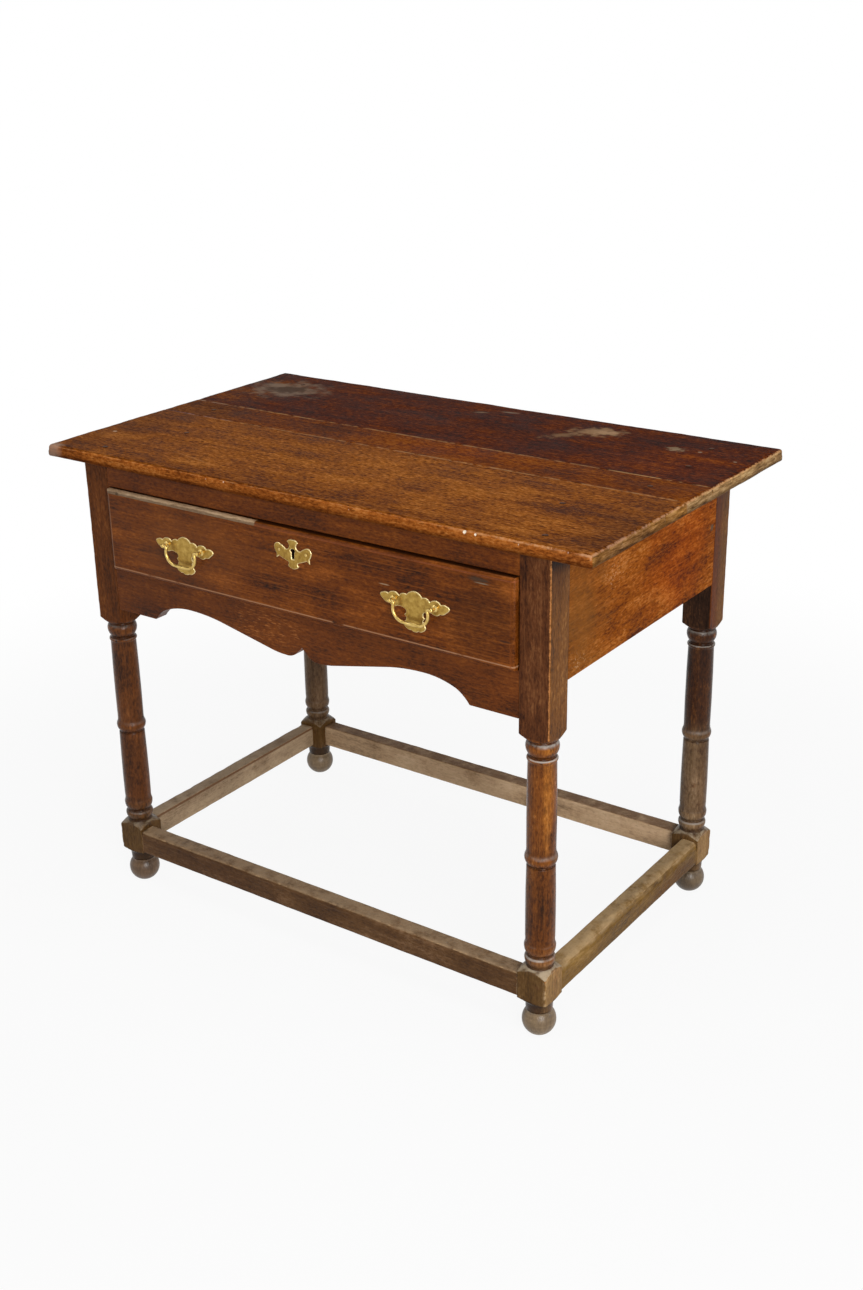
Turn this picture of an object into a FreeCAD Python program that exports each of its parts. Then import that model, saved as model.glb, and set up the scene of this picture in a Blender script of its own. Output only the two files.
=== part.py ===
"""Tavern table with one proud-fronted drawer, as separate timbers and fittings, in millimetres.

X runs along the table's length, -Y is the front with the drawer and +Z is up from the floor.
"""
import FreeCAD
import Part
import Sketcher
import os
import re

doc = FreeCAD.newDocument("tavern_table")
sheet = doc.addObject("Spreadsheet::Sheet", "Sizes")

# Driving dimensions
SIZES = {
    # Top of three boards
    "top_length": 914,
    "table_height": 715,
    "top_thickness": 18,
    "front_board_width": 243,
    "middle_board_width": 75,
    "back_board_width": 223.2,
    "board_gap": 0.4,
    "top_edge_round": 6,
    "under_edge_round": 3,
    "front_overhang": 12.5,
    "back_overhang": 32.5,
    "end_overhang": 62,
    "top_peg_radius": 4,
    "top_peg_length": 42,
    "front_peg_offset": 143,
    "front_peg_inset": 70,
    "back_peg_inset": 118,
    # Frame of legs and rails
    "leg_stock": 45,
    "rail_thickness": 22,
    "upper_rail_height": 32,
    "opening_height": 125,
    "apron_height": 66,
    "side_rail_height": 175,
    "tenon_thickness": 10,
    "tenon_setback": 8,
    "tenon_end_gap": 1.5,
    "tenon_shoulder": 6,
    # Shaped lower edge of the apron
    "apron_notch_height": 17,
    "apron_notch_width": 16,
    "apron_lobe_offset": 28,
    "apron_slope_start": 58,
    "apron_slope_rise": 3.5,
    "apron_arch_height": 28.5,
    "apron_arch_drop": 5,
    "apron_arch_run": 55,
    "apron_peak_inset": 145,
    "apron_step_inset": 95,
    "apron_step_height": 18.6,
    "apron_end_flat": 74,
    # Ball feet with pins
    "foot_ball_radius": 23.7,
    "foot_ball_height": 20.3,
    "foot_neck_radius": 18.3,
    "foot_neck_length": 2.6,
    "foot_pin_radius": 9,
    "foot_pin_length": 26,
    # Turned legs, each part's own height from the foot up
    "foot_shoulder_height": 20,
    "lower_block_height": 39,
    "lower_shoulder_height": 10.5,
    "ring_neck_radius": 19.2,
    "lower_ring_height": 17.5,
    "groove_height": 3,
    "groove_radius": 18.3,
    "column_foot_height": 12,
    "column_foot_radius": 21.7,
    "column_cove_height": 13,
    "lower_column_radius": 20.4,
    "lower_column_height": 109,
    "column_radius": 19.5,
    "mid_ring_low_height": 11,
    "mid_ring_radius": 21.9,
    "mid_ring_high_height": 9,
    "upper_column_radius": 19.8,
    "upper_column_height": 130,
    "column_top_radius": 19.1,
    "collar_radius": 19.9,
    "collar_height": 5,
    "upper_ring_low_height": 12,
    "upper_ring_radius": 21.7,
    "upper_ring_high_height": 9.5,
    "upper_shoulder_height": 11,
    # Box stretcher
    "stretcher_height": 37,
    "stretcher_depth": 26,
    "stretcher_seat": 1.5,
    "stretcher_setback": 1,
    "back_stretcher_setback": 5.5,
    "stretcher_wear": 6,
    "back_stretcher_wear": 2,
    # Runners, guides and kickers that carry the drawer
    "runner_width": 30,
    "runner_height": 22,
    "guide_rise": 30,
    "nail_radius": 1.5,
    "nail_inset": 20,
    "nail_hold": 18,
    # Drawer box
    "drawer_stop_gap": 0.5,
    "drawer_side_clearance": 2,
    "drawer_run_clearance": 0.3,
    "drawer_top_clearance": 1.8,
    "drawer_board": 12,
    "drawer_core_depth": 16,
    "drawer_tail_length": 11,
    "drawer_tail_root": 20,
    "drawer_tail_splay": 2.5,
    "bottom_board_thickness": 9,
    "bottom_board_height": 6,
    "bottom_groove_depth": 6,
    "bottom_board_gap": 0.4,
    "bottom_nail_radius": 1.2,
    "bottom_nail_length": 26,
    # Drawer front, standing proud of the frame with a rounded edge about a raised field
    "front_projection": 7.4,
    "front_edge_round": 4.5,
    "field_inset": 5,
    "field_rise": 0.8,
    "patch_length": 281,
    "patch_height": 6,
    # Brass handles
    "handle_inset": 149.4,
    "handle_drop": 62.2,
    "handle_plate_width": 109,
    "handle_plate_height": 56.6,
    "handle_plate_thickness": 1.6,
    "post_spacing": 65,
    "post_shank_radius": 2.2,
    "post_fit": 0.1,
    "post_flange_radius": 4.6,
    "post_flange_length": 1.2,
    "post_neck_radius": 2.3,
    "post_standoff": 8.5,
    "post_ball_radius": 3.1,
    "post_tail": 1.5,
    "nut_width": 10,
    "nut_thickness": 4,
    "bail_wire_radius": 1.6,
    "bail_fit": 0.1,
    "bail_bend_radius": 2.6,
    "bail_bow_radius": 16.5,
    "bail_half_flat": 11,
    "bail_length": 25.4,
    "bail_pin_end": 2.4,
    "bail_grip_radius": 2.4,
    # Escutcheon and lock
    "escutcheon_width": 65,
    "escutcheon_height": 41.8,
    "escutcheon_thickness": 1.4,
    "escutcheon_pin_radius": 1,
    "escutcheon_pin_head": 1.7,
    "escutcheon_pin_rise": 0.8,
    "escutcheon_pin_length": 9,
    "escutcheon_pin_spacing": 46,
    "escutcheon_pin_height": 3,
    "keyhole_drop": 29.3,
    "keyhole_radius": 2.6,
    "keyhole_slot_width": 3.2,
    "keyhole_slot_length": 11.4,
    "lock_plate_width": 64,
    "lock_plate_height": 48,
    "lock_plate_thickness": 2,
    "lock_box_width": 44,
    "lock_box_height": 42,
    "lock_box_depth": 9,
    "lock_key_depth": 6,
    "bolt_width": 26,
    "bolt_thickness": 5,
    "bolt_height": 16,
    "bolt_top_gap": 0.5,
    "bolt_throw": 9,
    "bolt_clearance": 0.3,
    "lock_screw_radius": 1.6,
    "lock_screw_head": 3,
    "lock_screw_length": 9,
    "lock_screw_inset": 5,
}

# Sizes that follow from the driving dimensions
DERIVED = {
    "top_depth": "front_board_width + middle_board_width + back_board_width + 2 * board_gap",
    "frame_length": "top_length - 2 * end_overhang",
    "frame_depth": "top_depth - front_overhang - back_overhang",
    "leg_height": "table_height - top_thickness",
    "half_frame": "frame_length / 2",
    "leg_axis": "half_frame - leg_stock / 2",
    "half_opening": "half_frame - leg_stock",
    "tenon_length": "leg_stock - tenon_setback - tenon_thickness - tenon_end_gap",
    "opening_top": "leg_height - upper_rail_height",
    "opening_bottom": "opening_top - opening_height",
    "apron_bottom": "opening_bottom - apron_height",
    "foot_base_radius": "sqrt(foot_ball_radius ^ 2 - foot_ball_height ^ 2)",
    "foot_neck_height": "foot_ball_height + sqrt(foot_ball_radius ^ 2 - foot_neck_radius ^ 2)",
    "leg_bottom": "foot_neck_height + foot_neck_length",
    "leg_corner_radius": "leg_stock * 0.75",
    "stretcher_bottom": "leg_bottom + foot_shoulder_height + stretcher_seat",
    "drawer_bottom": "opening_bottom + drawer_run_clearance",
    "drawer_top": "opening_top - drawer_top_clearance",
    "drawer_side_height": "drawer_top - drawer_bottom",
    "half_drawer": "half_opening - drawer_side_clearance",
    "drawer_depth": "frame_depth - rail_thickness - drawer_stop_gap",
    "drawer_projection": "front_projection + field_rise",
    "handle_offset": "half_drawer - handle_inset",
    "handle_height": "drawer_top - handle_drop",
    "handle_reach": "handle_plate_thickness + post_standoff + post_ball_radius",
    "bail_curves": "bail_bow_radius + bail_bend_radius",
    "bail_bend_offset": "sqrt(bail_curves ^ 2 - (bail_length - bail_curves) ^ 2)",
    "keyhole_height": "drawer_top - keyhole_drop",
    "escutcheon_level": "keyhole_height + (keyhole_radius - keyhole_slot_length) / 2",
    "front_face": "(drawer_projection + handle_reach - frame_depth - back_overhang) / 2",
    "back_face": "front_face + frame_depth",
    "top_front": "front_face - front_overhang",
    "middle_board_front": "top_front + front_board_width + board_gap",
    "back_board_front": "middle_board_front + middle_board_width + board_gap",
    "field_face": "front_face - drawer_projection",
    "core_back": "front_face + drawer_core_depth",
    "drawer_back_face": "front_face + drawer_depth",
    "bail_axis": "field_face - handle_plate_thickness - post_standoff",
    "bolt_back": "core_back - lock_plate_thickness - lock_box_depth / 2 + bolt_thickness / 2",
    "bolt_top": "drawer_top - bolt_top_gap",
}

TAIL_COUNT = 3
FULL_TURN = 360.0

# How far an edge bulges, as its rise over half its chord: positive to the right of travel
STRAIGHT = 0.0
BEAD = 0.23
RING_LOW = 0.22
RING_HIGH = 0.38
RING_COVE = -0.22
COLUMN_ROUND = 0.24
COLUMN_COVE = -0.14
ENTASIS = 0.008

# Right halves of the two brass outlines, from the bottom up: shares of width and height, and bulge
HANDLE_PLATE_HALF = [
    (0.000, -0.707, 0.22),
    (0.054, -0.668, 0.32),
    (0.115, -0.650, 0.30),
    (0.161, -0.539, -0.12),
    (0.121, -0.389, 0.00),
    (0.152, -0.314, -0.80),
    (0.156, -0.171, -0.15),
    (0.252, -0.159, 0.38),
    (0.362, -0.136, 0.28),
    (0.450, -0.071, 0.15),
    (0.500, 0.027, 0.45),
    (0.468, 0.097, 0.28),
    (0.381, 0.102, 0.48),
    (0.220, 0.110, 0.40),
    (0.113, 0.175, 0.22),
    (0.000, 0.293, 0.22),
]
ESCUTCHEON_HALF = [
    (0.000, -0.514, 0.12),
    (0.095, -0.470, 0.25),
    (0.142, -0.397, -0.35),
    (0.126, -0.287, 0.03),
    (0.366, -0.144, 0.00),
    (0.443, -0.232, 0.00),
    (0.434, -0.072, 0.15),
    (0.498, 0.144, 0.42),
    (0.374, 0.299, 0.10),
    (0.205, 0.150, -0.55),
    (0.092, 0.280, -0.25),
    (0.148, 0.390, 0.30),
    (0.000, 0.486, 0.30),
]


def fill_sheet():
    """Write every size into the sheet, with its name as the cell's alias."""
    cells = {name: str(number) for name, number in SIZES.items()}
    cells.update({name: "=" + text for name, text in DERIVED.items()})
    for row, (name, content) in enumerate(cells.items(), start=1):
        sheet.set(f"A{row}", name)
        sheet.set(f"B{row}", content)
        sheet.setAlias(f"B{row}", name)
    doc.recompute()


def formula(text):
    """Point each size's name in a formula at its cell in the sheet."""
    return re.sub(r"[a-z]+(?:_[a-z]+)+", r"Sizes.\g<0>", text)


def measure(text):
    """The present value of a formula."""
    return float(sheet.evalExpression(formula(text)))


def place(piece, position):
    """Bind a piece's place to three formulas."""
    for axis, text in zip("xyz", position):
        piece.setExpression(f"Placement.Base.{axis}", formula(text))


def block(name, size, corner):
    """A squared block: its lengths along X, Y and Z, and its lowest corner."""
    piece = doc.addObject("Part::Box", name)
    for side, text in zip(("Length", "Width", "Height"), size):
        piece.setExpression(side, formula(text))
    place(piece, corner)
    return piece


def rod(name, radius, length, start, direction):
    """A round bar from a start point along a direction."""
    piece = doc.addObject("Part::Cylinder", name)
    piece.setExpression("Radius", formula(radius))
    piece.setExpression("Height", formula(length))
    piece.Placement.Rotation = FreeCAD.Rotation(FreeCAD.Vector(0, 0, 1), FreeCAD.Vector(*direction))
    place(piece, start)
    return piece


def fuse(name, pieces):
    """Several solids made into one."""
    piece = doc.addObject("Part::MultiFuse", name)
    piece.Shapes = pieces
    piece.Refine = True
    return piece


def group(name, pieces):
    """Several solids kept apart under one name."""
    piece = doc.addObject("Part::Compound", name)
    piece.Links = pieces
    return piece


def cut(name, base, tools):
    """A solid with the tools' spaces cut out of it."""
    piece = doc.addObject("Part::Cut", name)
    piece.Base = base
    piece.Tool = tools[0] if len(tools) == 1 else fuse(name + "_cutters", tools)
    piece.Refine = True
    return piece


def common(name, base, tool):
    """What two solids share."""
    piece = doc.addObject("Part::Common", name)
    piece.Base = base
    piece.Tool = tool
    piece.Refine = True
    return piece


def mirror(name, source):
    """The left-hand twin of a right-hand piece."""
    piece = doc.addObject("Part::Mirroring", name)
    piece.Source = source
    piece.Normal = FreeCAD.Vector(1, 0, 0)
    return piece


def hold_point(sketch, edge, end, position):
    """Hold an edge's end at a place given by two formulas."""
    for kind, axis, text in zip(("DistanceX", "DistanceY"), (-2, -1), position):
        if text == "0":
            sketch.addConstraint(Sketcher.Constraint("PointOnObject", edge, end, axis))
            continue
        row = sketch.addConstraint(Sketcher.Constraint(kind, -1, 1, edge, end, measure(text)))
        sketch.setExpression(f"Constraints[{row}]", formula(text))


def draw_edge(sketch, first, second, bulge):
    """One straight or round edge; returns it with the end numbers of its two points.

    A round edge takes its radius from its bulge, or from a formula given beside a bulge near to it.
    """
    start = FreeCAD.Vector(measure(first[0]), measure(first[1]), 0)
    finish = FreeCAD.Vector(measure(second[0]), measure(second[1]), 0)
    if not bulge:
        return sketch.addGeometry(Part.LineSegment(start, finish)), 1, 2
    run, rise = f"(({second[0]}) - ({first[0]}))", f"(({second[1]}) - ({first[1]}))"
    if isinstance(bulge, tuple):
        bulge, radius = bulge
    else:
        radius = f"({run} ^ 2 + {rise} ^ 2) ^ 0.5 * {(1 + bulge ** 2) / (4 * abs(bulge))}"
    chord = finish - start
    middle = (start + finish) / 2 + FreeCAD.Vector(chord.y, -chord.x, 0) * (bulge / 2)
    if bulge > 0:
        edge, ends = sketch.addGeometry(Part.Arc(start, middle, finish)), (1, 2)
    else:
        edge, ends = sketch.addGeometry(Part.Arc(finish, middle, start)), (2, 1)
    row = sketch.addConstraint(Sketcher.Constraint("Radius", edge, measure(radius)))
    sketch.setExpression(f"Constraints[{row}]", formula(radius))
    return edge, *ends


def draw_outline(sketch, points, closed=True):
    """Join points into one line. Each point has two formulas and the bulge of the edge that leaves it."""
    edges = []
    following = points[1:] + points[:1] if closed else points[1:]
    for (u, v, bulge), second in zip(points, following):
        edge, begin, end = draw_edge(sketch, (u, v), second[:2], bulge)
        hold_point(sketch, edge, begin, (u, v))
        if edges:
            sketch.addConstraint(Sketcher.Constraint("Coincident", *edges[-1][::2], edge, begin))
        edges.append((edge, begin, end))
    last_edge, _, last_end = edges[-1]
    if closed:
        sketch.addConstraint(Sketcher.Constraint("Coincident", last_edge, last_end, *edges[0][:2]))
    else:
        hold_point(sketch, last_edge, last_end, points[-1][:2])
    return [f"Edge{edge + 1}" for edge, _, _ in edges]


def add_sketch(body, name, plane):
    """A sketch on one of the body's own planes."""
    sketch = body.newObject("Sketcher::SketchObject", name)
    support = next(item for item in body.Origin.OriginFeatures if item.Role == plane)
    sketch.AttachmentSupport = (support, [""])
    sketch.MapMode = "FlatFace"
    return sketch


def slab(name, plane, points, thickness, centre):
    """An outline thickened equally to both sides of its plane."""
    body = doc.addObject("PartDesign::Body", name)
    sketch = add_sketch(body, name + "_outline", plane)
    draw_outline(sketch, points)
    pad = body.newObject("PartDesign::Pad", name + "_thickness")
    pad.Profile = sketch
    pad.SideType = "Symmetric"
    pad.setExpression("Length", formula(thickness))
    place(body, centre)
    return body


def turning(name, points, foot, direction=(0, 0, 1)):
    """A profile of radii and heights turned about its axis, from its foot along a direction."""
    body = doc.addObject("PartDesign::Body", name)
    sketch = add_sketch(body, name + "_profile", "XZ_Plane")
    draw_outline(sketch, points)
    turn = body.newObject("PartDesign::Revolution", name + "_turn")
    turn.Profile = sketch
    turn.ReferenceAxis = (sketch, ["V_Axis"])
    turn.Angle = FULL_TURN
    body.Placement.Rotation = FreeCAD.Rotation(FreeCAD.Vector(0, 0, 1), FreeCAD.Vector(*direction))
    place(body, foot)
    return body


def stacked(steps):
    """Turned steps of radius, own height and bulge, piled up into points."""
    height = "0"
    points = []
    for radius, rise, bulge in steps:
        if rise != "0":
            height = rise if height == "0" else f"{height} + {rise}"
        points.append((radius, height, bulge))
    return points


def edge_names(shape, corners):
    """Names of a box's edges that lie on two of its sides, such as top and front."""
    box = shape.BoundBox
    sides = {
        "left": ("x", box.XMin),
        "right": ("x", box.XMax),
        "front": ("y", box.YMin),
        "back": ("y", box.YMax),
        "bottom": ("z", box.ZMin),
        "top": ("z", box.ZMax),
    }
    names = []
    for number, edge in enumerate(shape.Edges, start=1):
        for corner in corners:
            limits = [sides[word] for word in corner.split()]
            on_sides = [
                abs(getattr(vertex, axis.upper()) - limit) < 1e-6
                for axis, limit in limits
                for vertex in edge.Vertexes
            ]
            if all(on_sides):
                names.append(f"Edge{number}")
    return names


def rounded_block(name, size, corner, rounds):
    """A squared block with some of its edges rounded."""
    body = doc.addObject("PartDesign::Body", name)
    feature = body.newObject("PartDesign::AdditiveBox", name + "_blank")
    for side, text in zip(("Length", "Width", "Height"), size):
        feature.setExpression(side, formula(text))
    place(body, corner)
    doc.recompute()
    for number, (corners, radius) in enumerate(rounds, start=1):
        fillet = body.newObject("PartDesign::Fillet", f"{name}_round_{number}")
        fillet.Base = (feature, edge_names(feature.Shape, corners))
        fillet.setExpression("Radius", formula(radius))
        feature = fillet
        doc.recompute()
    return body


def mirrored(half):
    """A right half outline, closed by its reflection about the middle line."""
    right = list(half)
    if right[-1][0] == "0":
        right[-1] = (*right[-1][:2], right[-2][2])
    left = []
    for index in range(len(half) - 1, 0, -1):
        u, v, _ = half[index]
        if u != "0":
            left.append((f"-({u})", v, half[index - 1][2]))
    return right + left


def scaled(half, width, height):
    """A brass outline's shares turned into formulas of its own width and height."""
    points = []
    for u, v, bulge in half:
        across = f"{u} * {width}" if u else "0"
        points.append((across, f"{v} * {height}", bulge))
    return points


def tabletop():
    """The edge-rounded top, sawn into three boards that are pegged to the frame."""
    pegs = []
    over_rail = "half_frame - rail_thickness / 2"
    spots = {
        "front_leg": ("leg_axis", "front_face + leg_stock / 2"),
        "front": ("half_frame - front_peg_inset", "front_face + front_peg_offset"),
        "middle": (over_rail, "middle_board_front + middle_board_width / 2"),
        "back": (over_rail, "back_face - back_peg_inset"),
        "back_leg": ("leg_axis", "back_face - leg_stock / 2"),
    }
    for spot, (across, depth) in spots.items():
        start = (across, depth, "table_height")
        pegs.append(rod(f"peg_{spot}", "top_peg_radius", "top_peg_length", start, (0, 0, -1)))
    right_pegs = group("right_top_pegs", pegs)
    left_pegs = mirror("left_top_pegs", right_pegs)
    all_pegs = group("top_pegs", [right_pegs, left_pegs])

    around = ("front", "back", "left", "right")
    blank = rounded_block(
        "top_blank",
        ("top_length", "top_depth", "top_thickness"),
        ("-top_length / 2", "top_front", "leg_height"),
        [
            ([f"top {side}" for side in around], "top_edge_round"),
            ([f"bottom {side}" for side in around], "under_edge_round"),
        ],
    )
    boards = {
        "top_front_board": ("front_board_width", "top_front"),
        "top_middle_board": ("middle_board_width", "middle_board_front"),
        "top_back_board": ("back_board_width", "back_board_front"),
    }
    for name, (width, front) in boards.items():
        sawn = block(
            name + "_sawn",
            ("top_length", width, "top_thickness"),
            ("-top_length / 2", front, "leg_height"),
        )
        nodes[name] = cut(name, common(name + "_edged", blank, sawn), [all_pegs])
    nodes["top_pegs"] = all_pegs
    return right_pegs


def tenoned_rail(name, board, tenon_length, height, setback, level, along_x):
    """A rail board with a tenon bar through it: the bar's ends are the tenons."""
    if along_x:
        size = (f"2 * ({tenon_length})", "tenon_thickness", height)
        corner = (f"-({tenon_length})", setback, level)
    else:
        size = ("tenon_thickness", f"frame_depth - 2 * leg_stock + 2 * {tenon_length}", height)
        corner = (setback, f"front_face + leg_stock - {tenon_length}", level)
    return fuse(name, [board, block(name + "_tenons", size, corner)])


def apron_outline():
    """The shaped lower rail: flat ends, long arches and two lobes beside a pointed notch."""
    peak = "half_opening - apron_peak_inset"
    half = [
        ("0", "apron_notch_height", 0.06),
        ("apron_notch_width / 2", "apron_notch_height * 0.55", 0.27),
        ("apron_lobe_offset", "0", 0.06),
        ("apron_slope_start", "apron_slope_rise", STRAIGHT),
        (f"{peak} - apron_arch_run", "apron_arch_height - apron_arch_drop", -0.046),
        (peak, "apron_arch_height", -0.10),
        ("half_opening - apron_step_inset", "apron_step_height", -0.12),
        ("half_opening - apron_end_flat", "0", STRAIGHT),
        ("half_opening", "0", STRAIGHT),
        ("half_opening", "apron_height", STRAIGHT),
    ]
    return mirrored(half)


def rails(right_pegs, right_nails):
    """Two front rails, one back rail and two side rails, tenoned into the legs."""
    reach = "half_opening + tenon_length"
    front_setback = "front_face + tenon_setback"
    back_setback = "back_face - tenon_setback - tenon_thickness"
    between_legs = "frame_depth - 2 * leg_stock"

    upper = block(
        "upper_front_board",
        ("2 * half_opening", "rail_thickness", "upper_rail_height"),
        ("-half_opening", "front_face", "opening_top"),
    )
    upper = tenoned_rail(
        "upper_front_blank", upper, reach, "upper_rail_height - 2 * tenon_shoulder",
        front_setback, "opening_top + tenon_shoulder", True,
    )
    keep = block(
        "bolt_mortise",
        ("bolt_width + 2 * bolt_clearance", "bolt_thickness + 2 * bolt_clearance", "bolt_throw"),
        ("-bolt_width / 2 - bolt_clearance", "bolt_back - bolt_thickness - bolt_clearance", "opening_top"),
    )
    nodes["upper_front_rail"] = cut("upper_front_rail", upper, [keep])

    centre = ("0", "front_face + rail_thickness / 2", "apron_bottom")
    apron = slab("apron_board", "XZ_Plane", apron_outline(), "rail_thickness", centre)
    nodes["lower_front_rail"] = tenoned_rail(
        "lower_front_rail", apron, reach, "apron_height - apron_arch_height - 2 * tenon_shoulder",
        front_setback, "apron_bottom + apron_arch_height + tenon_shoulder", True,
    )

    side_level = "leg_height - side_rail_height"
    tenon_height = "side_rail_height - 2 * tenon_shoulder"
    back = block(
        "back_board",
        ("2 * half_opening", "rail_thickness", "side_rail_height"),
        ("-half_opening", "back_face - rail_thickness", side_level),
    )
    nodes["back_rail"] = tenoned_rail(
        "back_rail", back, reach, tenon_height, back_setback, f"{side_level} + tenon_shoulder", True,
    )
    side = block(
        "right_side_board",
        ("rail_thickness", between_legs, "side_rail_height"),
        ("half_frame - rail_thickness", "front_face + leg_stock", side_level),
    )
    side = tenoned_rail(
        "right_side_blank", side, "tenon_length", tenon_height,
        "half_frame - tenon_setback - tenon_thickness", f"{side_level} + tenon_shoulder", False,
    )
    nodes["right_side_rail"] = cut("right_side_rail", side, [right_pegs, right_nails])
    nodes["left_side_rail"] = mirror("left_side_rail", nodes["right_side_rail"])


def stretchers():
    """The box stretcher near the floor, worn round along its outer upper edges."""
    reach = "half_opening + tenon_length"
    level = "stretcher_bottom + tenon_shoulder"
    tenon_height = "stretcher_height - 2 * tenon_shoulder"
    length = ("2 * half_opening", "stretcher_depth", "stretcher_height")
    front = rounded_block(
        "front_stretcher_bar", length,
        ("-half_opening", "front_face + stretcher_setback", "stretcher_bottom"),
        [(["top front"], "stretcher_wear")],
    )
    nodes["front_stretcher"] = tenoned_rail(
        "front_stretcher", front, reach, tenon_height, "front_face + tenon_setback", level, True,
    )
    back = rounded_block(
        "back_stretcher_bar", length,
        ("-half_opening", "back_face - back_stretcher_setback - stretcher_depth", "stretcher_bottom"),
        [(["top front"], "back_stretcher_wear")],
    )
    nodes["back_stretcher"] = tenoned_rail(
        "back_stretcher", back, reach, tenon_height,
        "back_face - tenon_setback - tenon_thickness", level, True,
    )
    side = rounded_block(
        "right_stretcher_bar",
        ("stretcher_depth", "frame_depth - 2 * leg_stock", "stretcher_height"),
        ("half_frame - stretcher_setback - stretcher_depth", "front_face + leg_stock", "stretcher_bottom"),
        [(["top right"], "stretcher_wear")],
    )
    nodes["right_stretcher"] = tenoned_rail(
        "right_stretcher", side, "tenon_length", tenon_height,
        "half_frame - tenon_setback - tenon_thickness", level, False,
    )
    nodes["left_stretcher"] = mirror("left_stretcher", nodes["right_stretcher"])


def foot_points():
    """A ball foot with a flat base, a short neck and a pin that goes up into the leg."""
    ball = (0.46, "foot_ball_radius")
    pin_top = "leg_bottom + foot_pin_length"
    return [
        ("0", "0", STRAIGHT),
        ("foot_base_radius", "0", ball),
        ("foot_neck_radius", "foot_neck_height", STRAIGHT),
        ("foot_neck_radius", "leg_bottom", STRAIGHT),
        ("foot_pin_radius", "leg_bottom", STRAIGHT),
        ("foot_pin_radius", pin_top, STRAIGHT),
        ("0", pin_top, STRAIGHT),
    ]


def leg_points():
    """Radii of the turned leg above its foot; the square blocks stay wider than the stock."""
    steps = [
        ("0", "0", STRAIGHT),
        ("foot_neck_radius", "0", STRAIGHT),
        ("leg_corner_radius", "foot_shoulder_height", STRAIGHT),
        ("leg_corner_radius", "lower_block_height", STRAIGHT),
        ("ring_neck_radius", "lower_shoulder_height", BEAD),
        ("ring_neck_radius", "lower_ring_height", STRAIGHT),
        ("groove_radius", "groove_height / 2", STRAIGHT),
        ("ring_neck_radius", "groove_height / 2", COLUMN_ROUND),
        ("column_foot_radius", "column_foot_height", COLUMN_COVE),
        ("lower_column_radius", "column_cove_height", ENTASIS),
        ("column_radius", "lower_column_height", STRAIGHT),
        ("groove_radius", "groove_height / 2", STRAIGHT),
        ("ring_neck_radius", "groove_height / 2", RING_LOW),
        ("mid_ring_radius", "mid_ring_low_height", RING_COVE),
        ("upper_column_radius", "mid_ring_high_height", ENTASIS),
        ("column_top_radius", "upper_column_height", STRAIGHT),
        ("collar_radius", "collar_height / 3", BEAD),
        ("collar_radius", "collar_height * 2 / 3", STRAIGHT),
        ("groove_radius", "groove_height / 2", STRAIGHT),
        ("ring_neck_radius", "groove_height / 2", RING_LOW),
        ("upper_ring_radius", "upper_ring_low_height", RING_HIGH),
        ("ring_neck_radius", "upper_ring_high_height", STRAIGHT),
        ("leg_corner_radius", "upper_shoulder_height", STRAIGHT),
    ]
    top = "leg_height - leg_bottom"
    return stacked(steps) + [("leg_corner_radius", top, STRAIGHT), ("0", top, STRAIGHT)]


def legs(right_pegs, right_nails):
    """Four legs turned from square stock, mortised by what they hold, each on its own foot."""
    corners = {
        "front": ("front_face + leg_stock / 2", ["upper_front_rail", "lower_front_rail"]),
        "back": ("back_face - leg_stock / 2", ["back_rail"]),
    }
    for end, (axis, held) in corners.items():
        foot = turning(f"{end}_right_foot", foot_points(), ("leg_axis", axis, "0"))
        nodes[f"{end}_right_foot"] = foot
        nodes[f"{end}_left_foot"] = mirror(f"{end}_left_foot", foot)

        name = f"{end}_right_leg"
        turned = turning(name + "_turned", leg_points(), ("leg_axis", axis, "leg_bottom"))
        stock = block(
            name + "_stock",
            ("leg_stock", "leg_stock", "leg_height - leg_bottom"),
            ("leg_axis - leg_stock / 2", f"{axis} - leg_stock / 2", "leg_bottom"),
        )
        blank = common(name + "_blank", turned, stock)
        tenons = [nodes[rail] for rail in held + ["right_side_rail", f"{end}_stretcher", "right_stretcher"]]
        leg = cut(name, blank, tenons + [foot, right_pegs, right_nails])
        nodes[name] = leg
        nodes[f"{end}_left_leg"] = mirror(f"{end}_left_leg", leg)


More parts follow.
